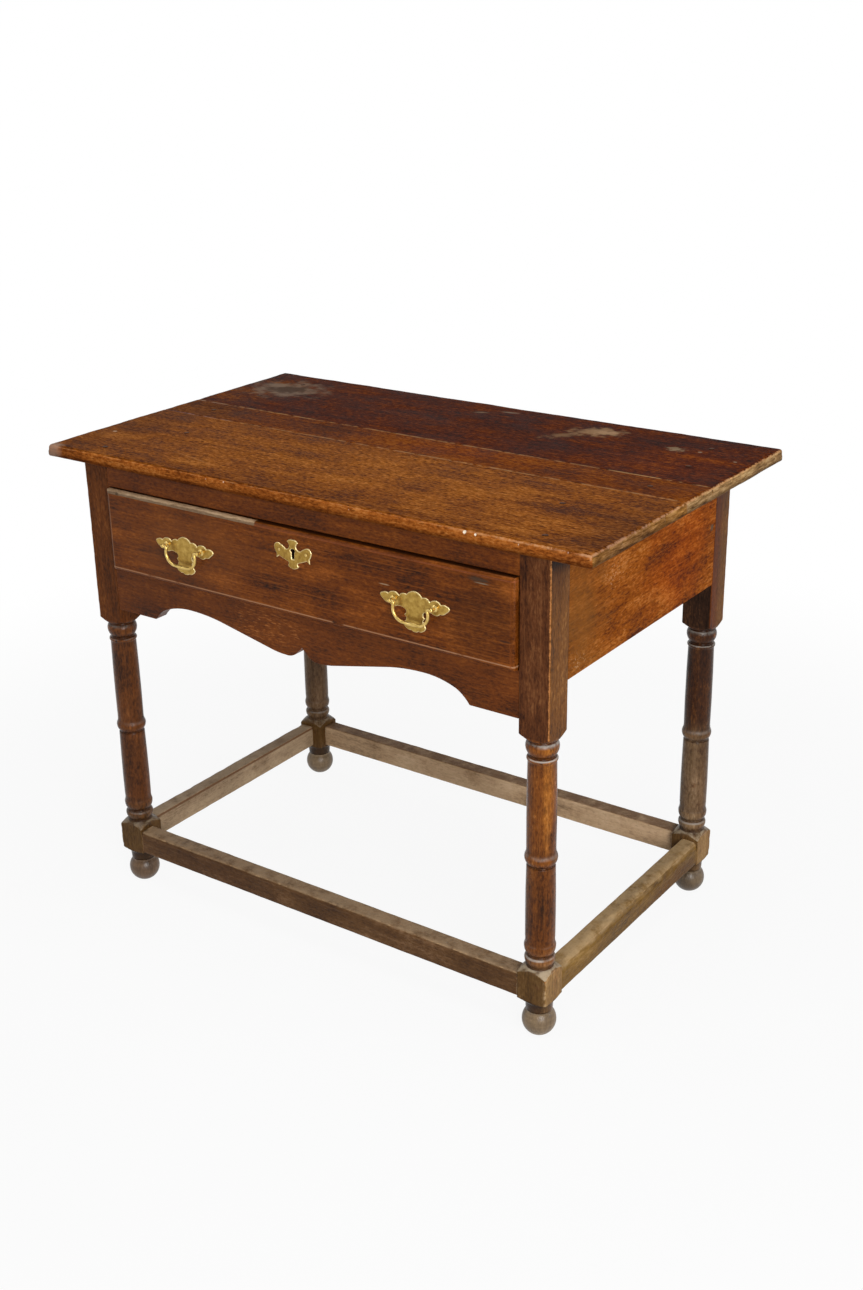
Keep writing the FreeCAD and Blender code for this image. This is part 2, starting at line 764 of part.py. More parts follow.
def drawer_carriers(right_pegs):
    """A runner under, a guide beside and a kicker over each drawer side, nailed to the legs and rails."""
    inner = "half_opening - runner_width"
    length = "frame_depth - 2 * rail_thickness"
    start = "front_face + rail_thickness"
    runner_bottom = "opening_bottom - runner_height"
    runner = block(
        "right_runner_blank", ("runner_width", length, "runner_height"), (inner, start, runner_bottom),
    )
    kicker = block(
        "right_kicker_blank", ("runner_width", length, "upper_rail_height"), (inner, start, "opening_top"),
    )
    guide = block(
        "right_guide_blank",
        (
            "leg_stock - rail_thickness",
            "frame_depth - 2 * leg_stock",
            "runner_height + guide_rise",
        ),
        ("half_opening", "front_face + leg_stock", runner_bottom),
    )
    nails = []
    rows = {
        "runner": ("opening_bottom - runner_height / 2", inner, "runner_width + nail_hold"),
        "kicker": ("opening_top + upper_rail_height / 2", inner, "runner_width + nail_hold"),
        "guide": (
            "opening_bottom + guide_rise / 2",
            "half_opening",
            "leg_stock - rail_thickness + nail_hold",
        ),
    }
    for row, (level, side, hold) in rows.items():
        inset = "leg_stock + nail_inset" if row == "guide" else "rail_thickness + nail_inset / 2"
        ends = {"front": f"front_face + {inset}", "back": f"back_face - ({inset})"}
        for end, depth in ends.items():
            nails.append(rod(f"{row}_{end}_nail", "nail_radius", hold, (side, depth, level), (1, 0, 0)))
    right_nails = group("right_runner_nails", nails)
    nodes["runner_nails"] = group("runner_nails", [right_nails, mirror("left_runner_nails", right_nails)])
    for blank, piece in ((runner, "drawer_runner"), (kicker, "drawer_kicker"), (guide, "drawer_guide")):
        nodes[f"right_{piece}"] = cut(f"right_{piece}", blank, [right_nails, right_pegs])
        nodes[f"left_{piece}"] = mirror(f"left_{piece}", nodes[f"right_{piece}"])
    return right_nails


def drawer_side_outline():
    """A drawer side with dovetails at both ends."""
    pitch = f"drawer_side_height / {TAIL_COUNT}"
    root = "drawer_tail_root / 2"
    splay = f"({root} + drawer_tail_splay)"
    back_root = "drawer_depth - drawer_board"
    tail_end = "drawer_core_depth - drawer_tail_length"
    front = []
    back = []
    for number in range(TAIL_COUNT):
        middle = f"{number + 0.5} * {pitch}"
        front = [
            ("drawer_core_depth", f"{middle} + {root}", STRAIGHT),
            (tail_end, f"{middle} + {splay}", STRAIGHT),
            (tail_end, f"{middle} - {splay}", STRAIGHT),
            ("drawer_core_depth", f"{middle} - {root}", STRAIGHT),
        ] + front
        back += [
            (back_root, f"{middle} - {root}", STRAIGHT),
            ("drawer_depth", f"{middle} - {splay}", STRAIGHT),
            ("drawer_depth", f"{middle} + {splay}", STRAIGHT),
            (back_root, f"{middle} + {root}", STRAIGHT),
        ]
    corners = [
        ("drawer_core_depth", "0", STRAIGHT),
        (back_root, "0", STRAIGHT),
        (back_root, "drawer_side_height", STRAIGHT),
        ("drawer_core_depth", "drawer_side_height", STRAIGHT),
    ]
    return corners[:2] + back + corners[2:] + front


def drawer_front_blank():
    """The drawer front before its cuts: a board with rounded front edges and a raised field."""
    board = rounded_block(
        "front_board",
        ("2 * half_drawer", "drawer_core_depth + front_projection", "drawer_side_height"),
        ("-half_drawer", "front_face - front_projection", "drawer_bottom"),
        [([f"front {side}" for side in ("top", "bottom", "left", "right")], "front_edge_round")],
    )
    field = block(
        "front_field",
        ("2 * (half_drawer - field_inset)", "field_rise", "drawer_side_height - 2 * field_inset"),
        ("field_inset - half_drawer", "field_face", "drawer_bottom + field_inset"),
    )
    return fuse("drawer_front_blank", [board, field])


def drawer_lock():
    """A brass-faced iron lock let into the back of the drawer front, with a bolt that rises."""
    plate = block(
        "lock_plate",
        ("lock_plate_width", "lock_plate_thickness", "lock_plate_height"),
        ("-lock_plate_width / 2", "core_back - lock_plate_thickness", "drawer_top - lock_plate_height"),
    )
    box = block(
        "lock_box",
        ("lock_box_width", "lock_box_depth", "lock_box_height"),
        (
            "-lock_box_width / 2",
            "core_back - lock_plate_thickness - lock_box_depth",
            "drawer_top - lock_box_height",
        ),
    )
    case = fuse("lock_case_blank", [plate, box])
    nodes["lock_bolt"] = block(
        "lock_bolt",
        ("bolt_width", "bolt_thickness", "bolt_height"),
        ("-bolt_width / 2", "bolt_back - bolt_thickness", "bolt_top - bolt_height"),
    )
    bolt_way = block(
        "bolt_way",
        (
            "bolt_width + 2 * bolt_clearance",
            "bolt_thickness + 2 * bolt_clearance",
            "bolt_height + bolt_clearance + bolt_top_gap",
        ),
        (
            "-bolt_width / 2 - bolt_clearance",
            "bolt_back - bolt_thickness - bolt_clearance",
            "bolt_top - bolt_height - bolt_clearance",
        ),
    )
    screws = []
    for side in (-1, 1):
        for level in ("lock_screw_inset", "lock_plate_height - lock_screw_inset"):
            start = (
                f"{side} * (lock_plate_width / 2 - lock_screw_inset)",
                "core_back",
                f"drawer_top - ({level})",
            )
            number = len(screws) + 1
            shank = rod(f"screw_shank_{number}", "lock_screw_radius", "lock_screw_length", start, (0, -1, 0))
            head = rod(f"screw_head_{number}", "lock_screw_head", "lock_plate_thickness", start, (0, -1, 0))
            screws.append(fuse(f"lock_screw_{number}", [shank, head]))
    nodes["lock_screws"] = group("lock_screws", screws)

    eye = rod(
        "keyhole_eye", "keyhole_radius",
        "drawer_projection + escutcheon_thickness + drawer_core_depth - lock_plate_thickness"
        " - lock_box_depth + lock_key_depth",
        ("0", "field_face - escutcheon_thickness", "keyhole_height"), (0, 1, 0),
    )
    slot = block(
        "keyhole_slot",
        (
            "keyhole_slot_width",
            "drawer_projection + escutcheon_thickness + drawer_core_depth - lock_plate_thickness"
            " - lock_box_depth + lock_key_depth",
            "keyhole_slot_length",
        ),
        (
            "-keyhole_slot_width / 2",
            "field_face - escutcheon_thickness",
            "keyhole_height - keyhole_slot_length",
        ),
    )
    keyhole = fuse("keyhole", [eye, slot])
    nodes["lock_case"] = cut("lock_case", case, [bolt_way, keyhole, nodes["lock_screws"]])
    return case, keyhole


def escutcheon(keyhole):
    """The pierced brass keyhole plate and its two round-headed pins."""
    centre = ("0", "field_face - escutcheon_thickness / 2", "escutcheon_level")
    outline = mirrored(scaled(ESCUTCHEON_HALF, "escutcheon_width", "escutcheon_height"))
    plate = slab("escutcheon_plate", "XZ_Plane", outline, "escutcheon_thickness", centre)
    shank_top = "escutcheon_pin_length"
    dome = "(escutcheon_pin_head ^ 2 + escutcheon_pin_rise ^ 2) / (2 * escutcheon_pin_rise)"
    points = [
        ("0", "0", STRAIGHT),
        ("escutcheon_pin_radius", "0", STRAIGHT),
        ("escutcheon_pin_radius", shank_top, STRAIGHT),
        ("escutcheon_pin_head", shank_top, (0.22, dome)),
        ("0", f"{shank_top} + escutcheon_pin_rise", STRAIGHT),
    ]
    start = (
        "escutcheon_pin_spacing / 2",
        "field_face - escutcheon_thickness + escutcheon_pin_length",
        "escutcheon_level + escutcheon_pin_height",
    )
    right_pin = turning("right_escutcheon_pin", points, start, (0, -1, 0))
    pins = group("escutcheon_pins", [right_pin, mirror("left_escutcheon_pin", right_pin)])
    nodes["escutcheon_pins"] = pins
    nodes["escutcheon"] = cut("escutcheon", plate, [keyhole, pins])
    return pins


def handle_post(name, offset):
    """A turned brass post: threaded shank, flange, neck and a ball bored for the bail."""
    shank = (
        "post_tail + nut_thickness + drawer_core_depth + drawer_projection + handle_plate_thickness"
    )
    ball_start = f"{shank} + post_standoff - sqrt(post_ball_radius ^ 2 - post_neck_radius ^ 2)"
    points = [
        ("0", "0", STRAIGHT),
        ("post_shank_radius", "0", STRAIGHT),
        ("post_shank_radius", shank, STRAIGHT),
        ("post_flange_radius", shank, STRAIGHT),
        ("post_flange_radius", f"{shank} + post_flange_length", STRAIGHT),
        ("post_neck_radius", f"{shank} + post_flange_length * 2", STRAIGHT),
        ("post_neck_radius", ball_start, (0.71, "post_ball_radius")),
        ("0", f"{shank} + post_standoff + post_ball_radius", STRAIGHT),
    ]
    foot = (offset, "core_back + nut_thickness + post_tail", "handle_height")
    turned = turning(name + "_turned", points, foot, (0, -1, 0))
    hole_start = (f"{offset} - post_flange_radius", "bail_axis", "handle_height")
    hole = rod(
        name + "_eye", "bail_wire_radius + bail_fit", "2 * post_flange_radius", hole_start, (1, 0, 0),
    )
    return cut(name, turned, [hole])


def bail(name):
    """A bent wire handle with outturned pins, hanging from its two posts, thicker at the grip."""
    body = doc.addObject("PartDesign::Body", name + "_wire")
    pin_end = "post_spacing / 2 + bail_pin_end"
    bow_share = "bail_bow_radius / bail_curves"
    meeting = (
        f"bail_half_flat + bail_bend_offset * {bow_share}",
        f"bail_bow_radius - bail_length + (bail_length - bail_curves) * {bow_share}",
    )
    right = [
        ("bail_half_flat", "-bail_length", (0.6, "bail_bow_radius")),
        (*meeting, (-0.6, "bail_bend_radius")),
        ("bail_half_flat + bail_bend_offset", "0", STRAIGHT),
        (pin_end, "0", STRAIGHT),
    ]
    bulges = [point[2] for point in right]
    left = [
        (f"-({u})", v, bulges[index - 1] if index else STRAIGHT)
        for index, (u, v, _) in reversed(list(enumerate(right)))
    ]
    path = add_sketch(body, name + "_path", "XZ_Plane")
    edges = draw_outline(path, left + right, closed=False)
    ring = add_sketch(body, name + "_section", "YZ_Plane")
    ring.setExpression("AttachmentOffset.Base.z", formula(f"-({pin_end})"))
    wire = Part.Circle(FreeCAD.Vector(), FreeCAD.Vector(0, 0, 1), measure("bail_wire_radius"))
    circle = ring.addGeometry(wire)
    ring.addConstraint(Sketcher.Constraint("Coincident", circle, 3, -1, 1))
    row = ring.addConstraint(Sketcher.Constraint("Radius", circle, measure("bail_wire_radius")))
    ring.setExpression(f"Constraints[{row}]", formula("bail_wire_radius"))
    doc.recompute()
    pipe = body.newObject("PartDesign::AdditivePipe", name + "_bend")
    pipe.Profile = ring
    pipe.Spine = (path, edges)
    centre = ("handle_offset", "bail_axis", "handle_height")
    place(body, centre)

    half_grip = "bail_half_flat"
    swell = [
        ("0", f"-{half_grip}", STRAIGHT),
        ("bail_wire_radius", f"-{half_grip}", STRAIGHT),
        ("bail_grip_radius", f"-{half_grip} / 3", STRAIGHT),
        ("bail_grip_radius", f"{half_grip} / 3", STRAIGHT),
        ("bail_wire_radius", half_grip, STRAIGHT),
        ("0", half_grip, STRAIGHT),
    ]
    grip_place = ("handle_offset", "bail_axis", "handle_height - bail_length")
    grip = turning(name + "_grip", swell, grip_place, (1, 0, 0))
    return fuse(name, [body, grip])


def handles():
    """Two bail handles: scalloped plate, two posts with nuts, and the bail."""
    centre = ("handle_offset", "field_face - handle_plate_thickness / 2", "handle_height")
    outline = mirrored(scaled(HANDLE_PLATE_HALF, "handle_plate_width", "handle_plate_height"))
    plate = slab("right_plate_blank", "XZ_Plane", outline, "handle_plate_thickness", centre)
    posts = {}
    holes = []
    nuts = []
    for side, sign in (("inner", "-"), ("outer", "+")):
        offset = f"handle_offset {sign} post_spacing / 2"
        posts[side] = handle_post(f"right_handle_{side}_post", offset)
        hole = rod(
            f"{side}_post_hole", "post_shank_radius + post_fit",
            "handle_plate_thickness + drawer_projection + drawer_core_depth + nut_thickness",
            (offset, "field_face - handle_plate_thickness", "handle_height"), (0, 1, 0),
        )
        holes.append(hole)
        nut = block(
            f"{side}_nut_blank",
            ("nut_width", "nut_thickness", "nut_width"),
            (f"{offset} - nut_width / 2", "core_back", "handle_height - nut_width / 2"),
        )
        nuts.append(cut(f"right_{side}_nut", nut, [hole]))
    nodes["right_handle_plate"] = cut("right_handle_plate", plate, holes)
    nodes["left_handle_plate"] = mirror("left_handle_plate", nodes["right_handle_plate"])
    for side, post in posts.items():
        nodes[f"right_handle_{side}_post"] = post
        nodes[f"left_handle_{side}_post"] = mirror(f"left_handle_{side}_post", post)
    right_nuts = group("right_handle_nuts", nuts)
    nodes["handle_nuts"] = group("handle_nuts", [right_nuts, mirror("left_handle_nuts", right_nuts)])
    nodes["right_bail"] = bail("right_bail")
    nodes["left_bail"] = mirror("left_bail", nodes["right_bail"])
    right_holes = group("right_post_holes", holes)
    return [right_holes, mirror("left_post_holes", right_holes)]


def drawer():
    """The dovetailed drawer: front with a pieced edge, sides, back, bottom boards and fittings."""
    side_place = ("half_drawer - drawer_board / 2", "front_face", "drawer_bottom")
    side = slab("right_drawer_board", "YZ_Plane", drawer_side_outline(), "drawer_board", side_place)
    left_side = mirror("left_drawer_board", side)

    half_bottom = "half_drawer - drawer_board + bottom_groove_depth"
    bottom_front = "core_back - bottom_groove_depth"
    bottom_depth = "(drawer_back_face - core_back + bottom_groove_depth - bottom_board_gap) / 2"
    bottoms = {}
    for end, start in (
        ("front", bottom_front),
        ("back", f"{bottom_front} + {bottom_depth} + bottom_board_gap"),
    ):
        bottoms[end] = block(
            f"drawer_bottom_{end}_blank",
            (f"2 * ({half_bottom})", bottom_depth, "bottom_board_thickness"),
            (f"-({half_bottom})", start, "drawer_bottom + bottom_board_height"),
        )
    panel = group("drawer_panel", list(bottoms.values()))

    nails = []
    for index in (-2, -1, 0, 1, 2):
        start = (
            f"{index} * half_drawer * 2 / 5",
            "drawer_back_face - drawer_board / 2",
            "drawer_bottom + bottom_board_height",
        )
        name = f"bottom_nail_{len(nails) + 1}"
        nails.append(rod(name, "bottom_nail_radius", "bottom_nail_length", start, (0, 0, 1)))
    nodes["drawer_nails"] = group("drawer_nails", nails)

    back_bottom = "drawer_bottom + bottom_board_height + bottom_board_thickness"
    back = block(
        "drawer_back_blank",
        ("2 * half_drawer", "drawer_board", f"drawer_top - ({back_bottom})"),
        ("-half_drawer", "drawer_back_face - drawer_board", back_bottom),
    )
    nodes["drawer_back"] = cut("drawer_back", back, [side, left_side, nodes["drawer_nails"]])
    nodes["drawer_bottom_front_board"] = bottoms["front"]
    nodes["drawer_bottom_back_board"] = cut(
        "drawer_bottom_back_board", bottoms["back"], [nodes["drawer_nails"]],
    )
    nodes["drawer_right_side"] = cut("drawer_right_side", side, [panel])
    nodes["drawer_left_side"] = mirror("drawer_left_side", nodes["drawer_right_side"])

    case, keyhole = drawer_lock()
    pins = escutcheon(keyhole)
    post_holes = handles()
    cutters = [side, left_side, panel, case, keyhole, pins, nodes["lock_screws"], *post_holes]
    front = cut("drawer_front_fitted", drawer_front_blank(), cutters)
    patch = block(
        "edge_patch_space",
        ("patch_length", "drawer_projection", "patch_height"),
        ("-half_drawer", "field_face", "drawer_top - patch_height"),
    )
    nodes["drawer_edge_patch"] = common("drawer_edge_patch", front, patch)
    nodes["drawer_front"] = cut("drawer_front", front, [patch])


def check_pieces():
    """Stop if any object failed or any piece is empty or not sound."""
    for item in doc.Objects:
        if {"Invalid", "Error"} & set(item.State):
            raise RuntimeError(f"{item.Name} failed: {item.State}")
    for name, piece in nodes.items():
        if piece.Shape.isNull() or not piece.Shape.isValid() or not piece.Shape.Solids:
            raise RuntimeError(f"{name} has no sound solid")


def write_pieces():
    """Write each piece's solids to its own file."""
    os.makedirs("parts", exist_ok=True)
    for name, piece in nodes.items():
        piece.Label = name
        piece.Shape.exportStep(f"parts/{name}.step")
        volume = sum(solid.Volume for solid in piece.Shape.Solids)
        print(f"{name}: {len(piece.Shape.Solids)} solid(s), {volume:.1f} mm3")
    print(f"{len(nodes)} pieces")


nodes = {}
fill_sheet()
top_pegs = tabletop()
runner_nails = drawer_carriers(top_pegs)
rails(top_pegs, runner_nails)
stretchers()
legs(top_pegs, runner_nails)
drawer()
doc.recompute()
check_pieces()
write_pieces()
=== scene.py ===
# %% [markdown]
# # A tavern table, dressed in worn oak and old brass
#
# The table is a joined one: three boards make its top, four legs are turned from square posts, and a
# box of stretchers ties the legs near the floor. One drawer stands a little proud of the front.
# The measured model gives every timber its true size and place. This lesson keeps those timbers,
# re-cuts the ones whose edges are worn uneven, and gives each of them a finish made only from nodes.

# %% Load the measured table
import bmesh
import bpy
import math
import numpy as np
from mathutils import Matrix, Vector, noise
from mathutils.bvhtree import BVHTree
from mathutils.geometry import delaunay_2d_cdt


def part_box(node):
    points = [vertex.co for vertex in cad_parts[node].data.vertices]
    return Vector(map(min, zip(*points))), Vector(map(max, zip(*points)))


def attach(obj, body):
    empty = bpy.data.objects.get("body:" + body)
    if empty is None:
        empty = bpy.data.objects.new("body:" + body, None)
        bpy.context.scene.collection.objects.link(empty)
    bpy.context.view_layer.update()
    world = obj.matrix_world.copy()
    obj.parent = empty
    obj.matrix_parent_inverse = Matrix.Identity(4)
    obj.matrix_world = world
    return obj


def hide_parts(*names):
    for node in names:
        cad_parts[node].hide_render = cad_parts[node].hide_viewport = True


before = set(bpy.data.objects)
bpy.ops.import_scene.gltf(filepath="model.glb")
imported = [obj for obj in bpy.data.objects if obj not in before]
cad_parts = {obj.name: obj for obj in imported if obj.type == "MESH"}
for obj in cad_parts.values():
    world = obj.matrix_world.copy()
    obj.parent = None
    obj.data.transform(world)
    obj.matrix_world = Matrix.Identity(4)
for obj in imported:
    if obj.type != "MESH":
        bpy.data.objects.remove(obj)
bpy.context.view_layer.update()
print("timbers and fittings:", len(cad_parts))

# %% [markdown]
# ## The camera
#
# The photograph was taken from the front right, a little above the top. Its straight edges were
# used to find where the camera stood. A camera can be aimed with a constraint, but here its three
# axes are written straight into its matrix, so that the small tilt of the picture is kept too.

# %% Place the camera
STAND = Vector((1.3240, -1.8131, 1.3366))
TURN, NOD, TILT = math.radians(35.354), math.radians(-22.503), math.radians(-0.904)
FOCAL_PIXELS, LONG_SIDE, SENSOR = 1610.97, 1290, 36.0

look = Vector((-math.sin(TURN) * math.cos(NOD), math.cos(TURN) * math.cos(NOD), math.sin(NOD)))
level = Vector((math.cos(TURN), math.sin(TURN), 0))
upward = level.cross(look)
right = level * math.cos(TILT) + upward * math.sin(TILT)
upward = upward * math.cos(TILT) - level * math.sin(TILT)

camera = bpy.data.objects.new("camera", bpy.data.cameras.new("camera"))
camera.data.sensor_width = SENSOR
camera.data.lens = FOCAL_PIXELS * SENSOR / LONG_SIDE
axes = Matrix((right, upward, -look)).transposed()
camera.matrix_world = Matrix.Translation(STAND) @ axes.to_4x4()
bpy.context.scene.collection.objects.link(camera)
bpy.context.scene.camera = camera
print("lens in mm:", round(camera.data.lens, 2))

# %% [markdown]
# ## Short calls for nodes
#
# Every finish below is a web of nodes. Wiring them one by one makes long code, so a small class
# adds a node, sets or links its inputs, and returns its output. Patterns are read in the table's
# own metres, so a grain line is as wide on a leg as on a board.

# %% A helper that wires nodes
class Finish:
    """One material. Each call adds a node and returns its output."""

    def __init__(self, name):
        self.material = bpy.data.materials.new(name)
        self.material.use_nodes = True
        self.tree = self.material.node_tree
        self.shader = self.tree.nodes["Principled BSDF"]
        self.place = self.node("TexCoord").outputs["Object"]

    def node(self, kind, inputs=None, **settings):
        made = self.tree.nodes.new("ShaderNode" + kind)
        for key, value in settings.items():
            setattr(made, key, value)
        for key, value in (inputs or {}).items():
            self.put(made.inputs[key], value)
        return made

    def put(self, socket, value):
        if isinstance(value, bpy.types.NodeSocket):
            self.tree.links.new(value, socket)
        elif socket.type == "RGBA":
            socket.default_value = (*value[:3], 1)
        else:
            socket.default_value = value

    def maths(self, operation, a, b=0.0, c=0.0):
        made = self.node("Math", {0: a, 1: b, 2: c}, operation=operation)
        return made.outputs[0]

    def stretch(self, scale, shift=(0, 0, 0), place=None):
        inputs = {"Vector": place or self.place, "Scale": scale, "Location": shift}
        return self.node("Mapping", inputs).outputs[0]

    def noise(self, place, scale, detail=2.0, roughness=0.5, distortion=0.0):
        inputs = {"Vector": place, "Scale": scale, "Detail": detail}
        inputs.update({"Roughness": roughness, "Distortion": distortion})
        return self.node("TexNoise", inputs).outputs["Fac"]

    def step(self, value, low, high, top=1.0):
        inputs = {"Value": value, "From Min": low, "From Max": high, "To Max": top}
        return self.node("MapRange", inputs, interpolation_type="SMOOTHSTEP").outputs[0]

    def both(self, a, b):
        """A mask where two masks hold at once."""
        return self.maths("MULTIPLY", a, b)

    def speckle(self, scale, low, high, detail=4, roughness=0.7):
        """A mask of ragged flecks: noise, kept where it is high."""
        return self.step(self.noise(self.place, scale, detail, roughness), low, high)

    def mix(self, share, a, b, blend="MIX"):
        inputs = {0: share, 6: a, 7: b}
        return self.node("Mix", inputs, data_type="RGBA", blend_type=blend).outputs[2]

    def ramp(self, value, stops):
        made = self.node("ValToRGB", {0: value})
        line = made.color_ramp.elements
        stops = list(stops)
        while len(line) < len(stops):
            line.new(0.5)
        for mark, (spot, colour) in zip(line, stops):
            mark.position = spot
            mark.color = (*colour, 1)
        return made.outputs[0]

    def attribute(self, name):
        return self.node("Attribute", attribute_name=name).outputs["Fac"]

    def spot(self, centre, size, turn=0.0, ragged=0.3, soft=0.5, scale=60.0):
        """A mark with a ragged rim: 1 inside an ellipse about a centre, 0 outside."""
        inputs = {"Vector": self.place, "Location": centre, "Rotation": (0, 0, turn)}
        local = self.node("Mapping", {**inputs, "Scale": size}, vector_type="TEXTURE").outputs[0]
        reach = self.node("VectorMath", {0: local}, operation="LENGTH").outputs["Value"]
        rough = self.noise(self.place, scale, 3)
        reach = self.maths("SUBTRACT", reach, ragged)
        reach = self.maths("MULTIPLY_ADD", rough, ragged * 2, reach)
        return self.step(reach, 1.0, 1.0 - soft)

    def gloss(self, pattern, low, high):
        """Roughness that follows a pattern between two values."""
        inputs = {"Value": pattern, "From Min": 0.3, "From Max": 0.7, "To Min": low, "To Max": high}
        self.put(self.shader.inputs["Roughness"], self.node("MapRange", inputs).outputs[0])

    def bump(self, height, depth, strength=1.0):
        inputs = {"Height": height, "Distance": depth, "Strength": strength}
        self.put(self.shader.inputs["Normal"], self.node("Bump", inputs).outputs[0])


print("node helper ready")

# %% [markdown]
# ## Floor and light
#
# The table stood on a white studio floor. A flat plane would end in a hard horizon, so the floor is
# a wide bowl whose rim rises out of sight from all sides. Near the table the floor is plain white
# paint, which keeps the soft shadows, and far away it turns to even white.
# Light comes from a large soft lamp on the right and a wide one overhead. Two weak ones, on the left
# and behind on the right, draw the highlights on brass and turned wood.

# %% The floor
FLAT_RADIUS, RIM_RADIUS, RIM_HEIGHT = 3.0, 9.0, 4.0
ROUND_STEPS, BOWL_STEPS = 96, 12


def studio_floor():
    """A flat disc whose rim bends up: rings of points round one middle point."""
    points, faces = [(0, 0, 0)], []
    for bend in np.arange(BOWL_STEPS + 1) / BOWL_STEPS:
        radius, height = FLAT_RADIUS + (RIM_RADIUS - FLAT_RADIUS) * bend, RIM_HEIGHT * bend ** 2
        for number in range(ROUND_STEPS):
            angle = 2 * math.pi * number / ROUND_STEPS
            points.append((radius * math.cos(angle), radius * math.sin(angle), height))
    for number in range(ROUND_STEPS):
        following = (number + 1) % ROUND_STEPS
        faces.append((0, 1 + number, 1 + following))
        for inner in range(1, BOWL_STEPS * ROUND_STEPS, ROUND_STEPS):
            outer = inner + ROUND_STEPS
            faces.append((inner + number, outer + number, outer + following, inner + following))
    mesh = bpy.data.meshes.new("studio_floor")
    mesh.from_pydata(points, [], faces)
    floor = bpy.data.objects.new("studio_floor", mesh)
    bpy.context.scene.collection.objects.link(floor)
    return floor


floor = studio_floor()
print("floor faces:", len(floor.data.polygons))

# %% White paint for the floor
PAINT_GREYS, NEAR_WHITE = ((0.3, (0.53,) * 3), (0.7, (0.57,) * 3)), 0.92
WHITE_FROM, WHITE_FULL = 0.8, 1.7

paint = Finish("floor_white")
paint.put(paint.shader.inputs["Base Color"], paint.ramp(paint.noise(paint.place, 3.0), PAINT_GREYS))
paint.shader.inputs["Roughness"].default_value = 0.9
paint.shader.inputs["Specular IOR Level"].default_value = 0.0
kinds = paint.node("LightPath").outputs
seen = paint.maths("MAXIMUM", kinds["Is Camera Ray"], kinds["Is Glossy Ray"])
seen = paint.maths("MAXIMUM", seen, kinds["Is Transmission Ray"])
reach = paint.node("VectorMath", {0: paint.place}, operation="LENGTH").outputs["Value"]
white = paint.step(reach, WHITE_FROM, WHITE_FULL)
white = paint.maths("MULTIPLY_ADD", white, 1 - NEAR_WHITE, NEAR_WHITE)
glow = paint.node("Emission", {"Color": (1, 1, 1), "Strength": 1.0}).outputs[0]
blend = paint.node("MixShader", {0: paint.both(seen, white), 1: paint.shader.outputs[0], 2: glow})
paint.put(paint.tree.nodes["Material Output"].inputs["Surface"], blend.outputs[0])
floor.data.materials.append(paint.material)
print("floor paint:", paint.material.name)

# %% Lamps and sky
AIM, SKY_STRENGTH = Vector((0.1, 0.0, 0.45)), 0.08
# each lamp: place, width, height, power in watts
LAMPS = {
    "right_lamp": ((2.45, -2.05, 1.45), 1.0, 1.5, 84),
    "overhead_lamp": ((0.2, -0.4, 3.0), 2.2, 2.2, 52),
    "left_lamp": ((-1.9, -2.6, 1.9), 0.6, 0.6, 9),
    "side_lamp": ((2.8, 1.1, 1.2), 0.35, 1.6, 12),
}


def soft_lamp(name, stand, width, height, power):
    lamp = bpy.data.lights.new(name, "AREA")
    lamp.shape, lamp.size, lamp.size_y, lamp.energy = "RECTANGLE", width, height, power
    made = bpy.data.objects.new(name, lamp)
    made.location = stand
    made.rotation_euler = (AIM - Vector(stand)).to_track_quat("-Z", "Y").to_euler()
    bpy.context.scene.collection.objects.link(made)


for name, plan in LAMPS.items():
    soft_lamp(name, *plan)
sky = bpy.data.worlds.new("studio_sky")
sky.use_nodes = True
sky.node_tree.nodes["Background"].inputs["Color"].default_value = (1, 1, 1, 1)
sky.node_tree.nodes["Background"].inputs["Strength"].default_value = SKY_STRENGTH
bpy.context.scene.world = sky
bpy.context.scene.view_settings.view_transform = "Standard"
print("lamps:", list(LAMPS))

# %% [markdown]
# ## Oak, the one wood of the table
#
# Oak shows long streaks, fine grain lines and short dark pores, all along the length of the timber.
# An image of oak could be projected, but then every timber would repeat it. Here noise is stretched
# along the grain instead, and each timber gets its own tones and its own part of the pattern.
# Two numbers stored on re-cut timbers steer the wear: `arris` is 1 on a worn edge, `end` on end grain.
# `mark` covers a part with a colour, `tint` only darkens or warms it, so that its grain shows through.

# %% Grain made from stretched noise
GRAIN_AXES = {"x": ("X", "Y", "Z"), "y": ("Y", "X", "Z"), "z": ("Z", "X", "Y")}
# noise scales along the grain and across it
STREAK_SCALE, SPECK_SCALE, CLOUD_SCALE = (4, 110, 110), (130, 330, 330), (10, 20, 20)
PORE_SCALE, GLINT_SCALE, SAW_SCALE = (90, 430, 430), (13, 420, 420), (200, 45, 300)
TONE_STOPS, SAW_STOPS, LINE_SCALE = (0.15, 0.42, 0.62, 0.9), (0.33, 0.5, 0.66), 35.0
UP = (0.0, 0.0, 1.0)


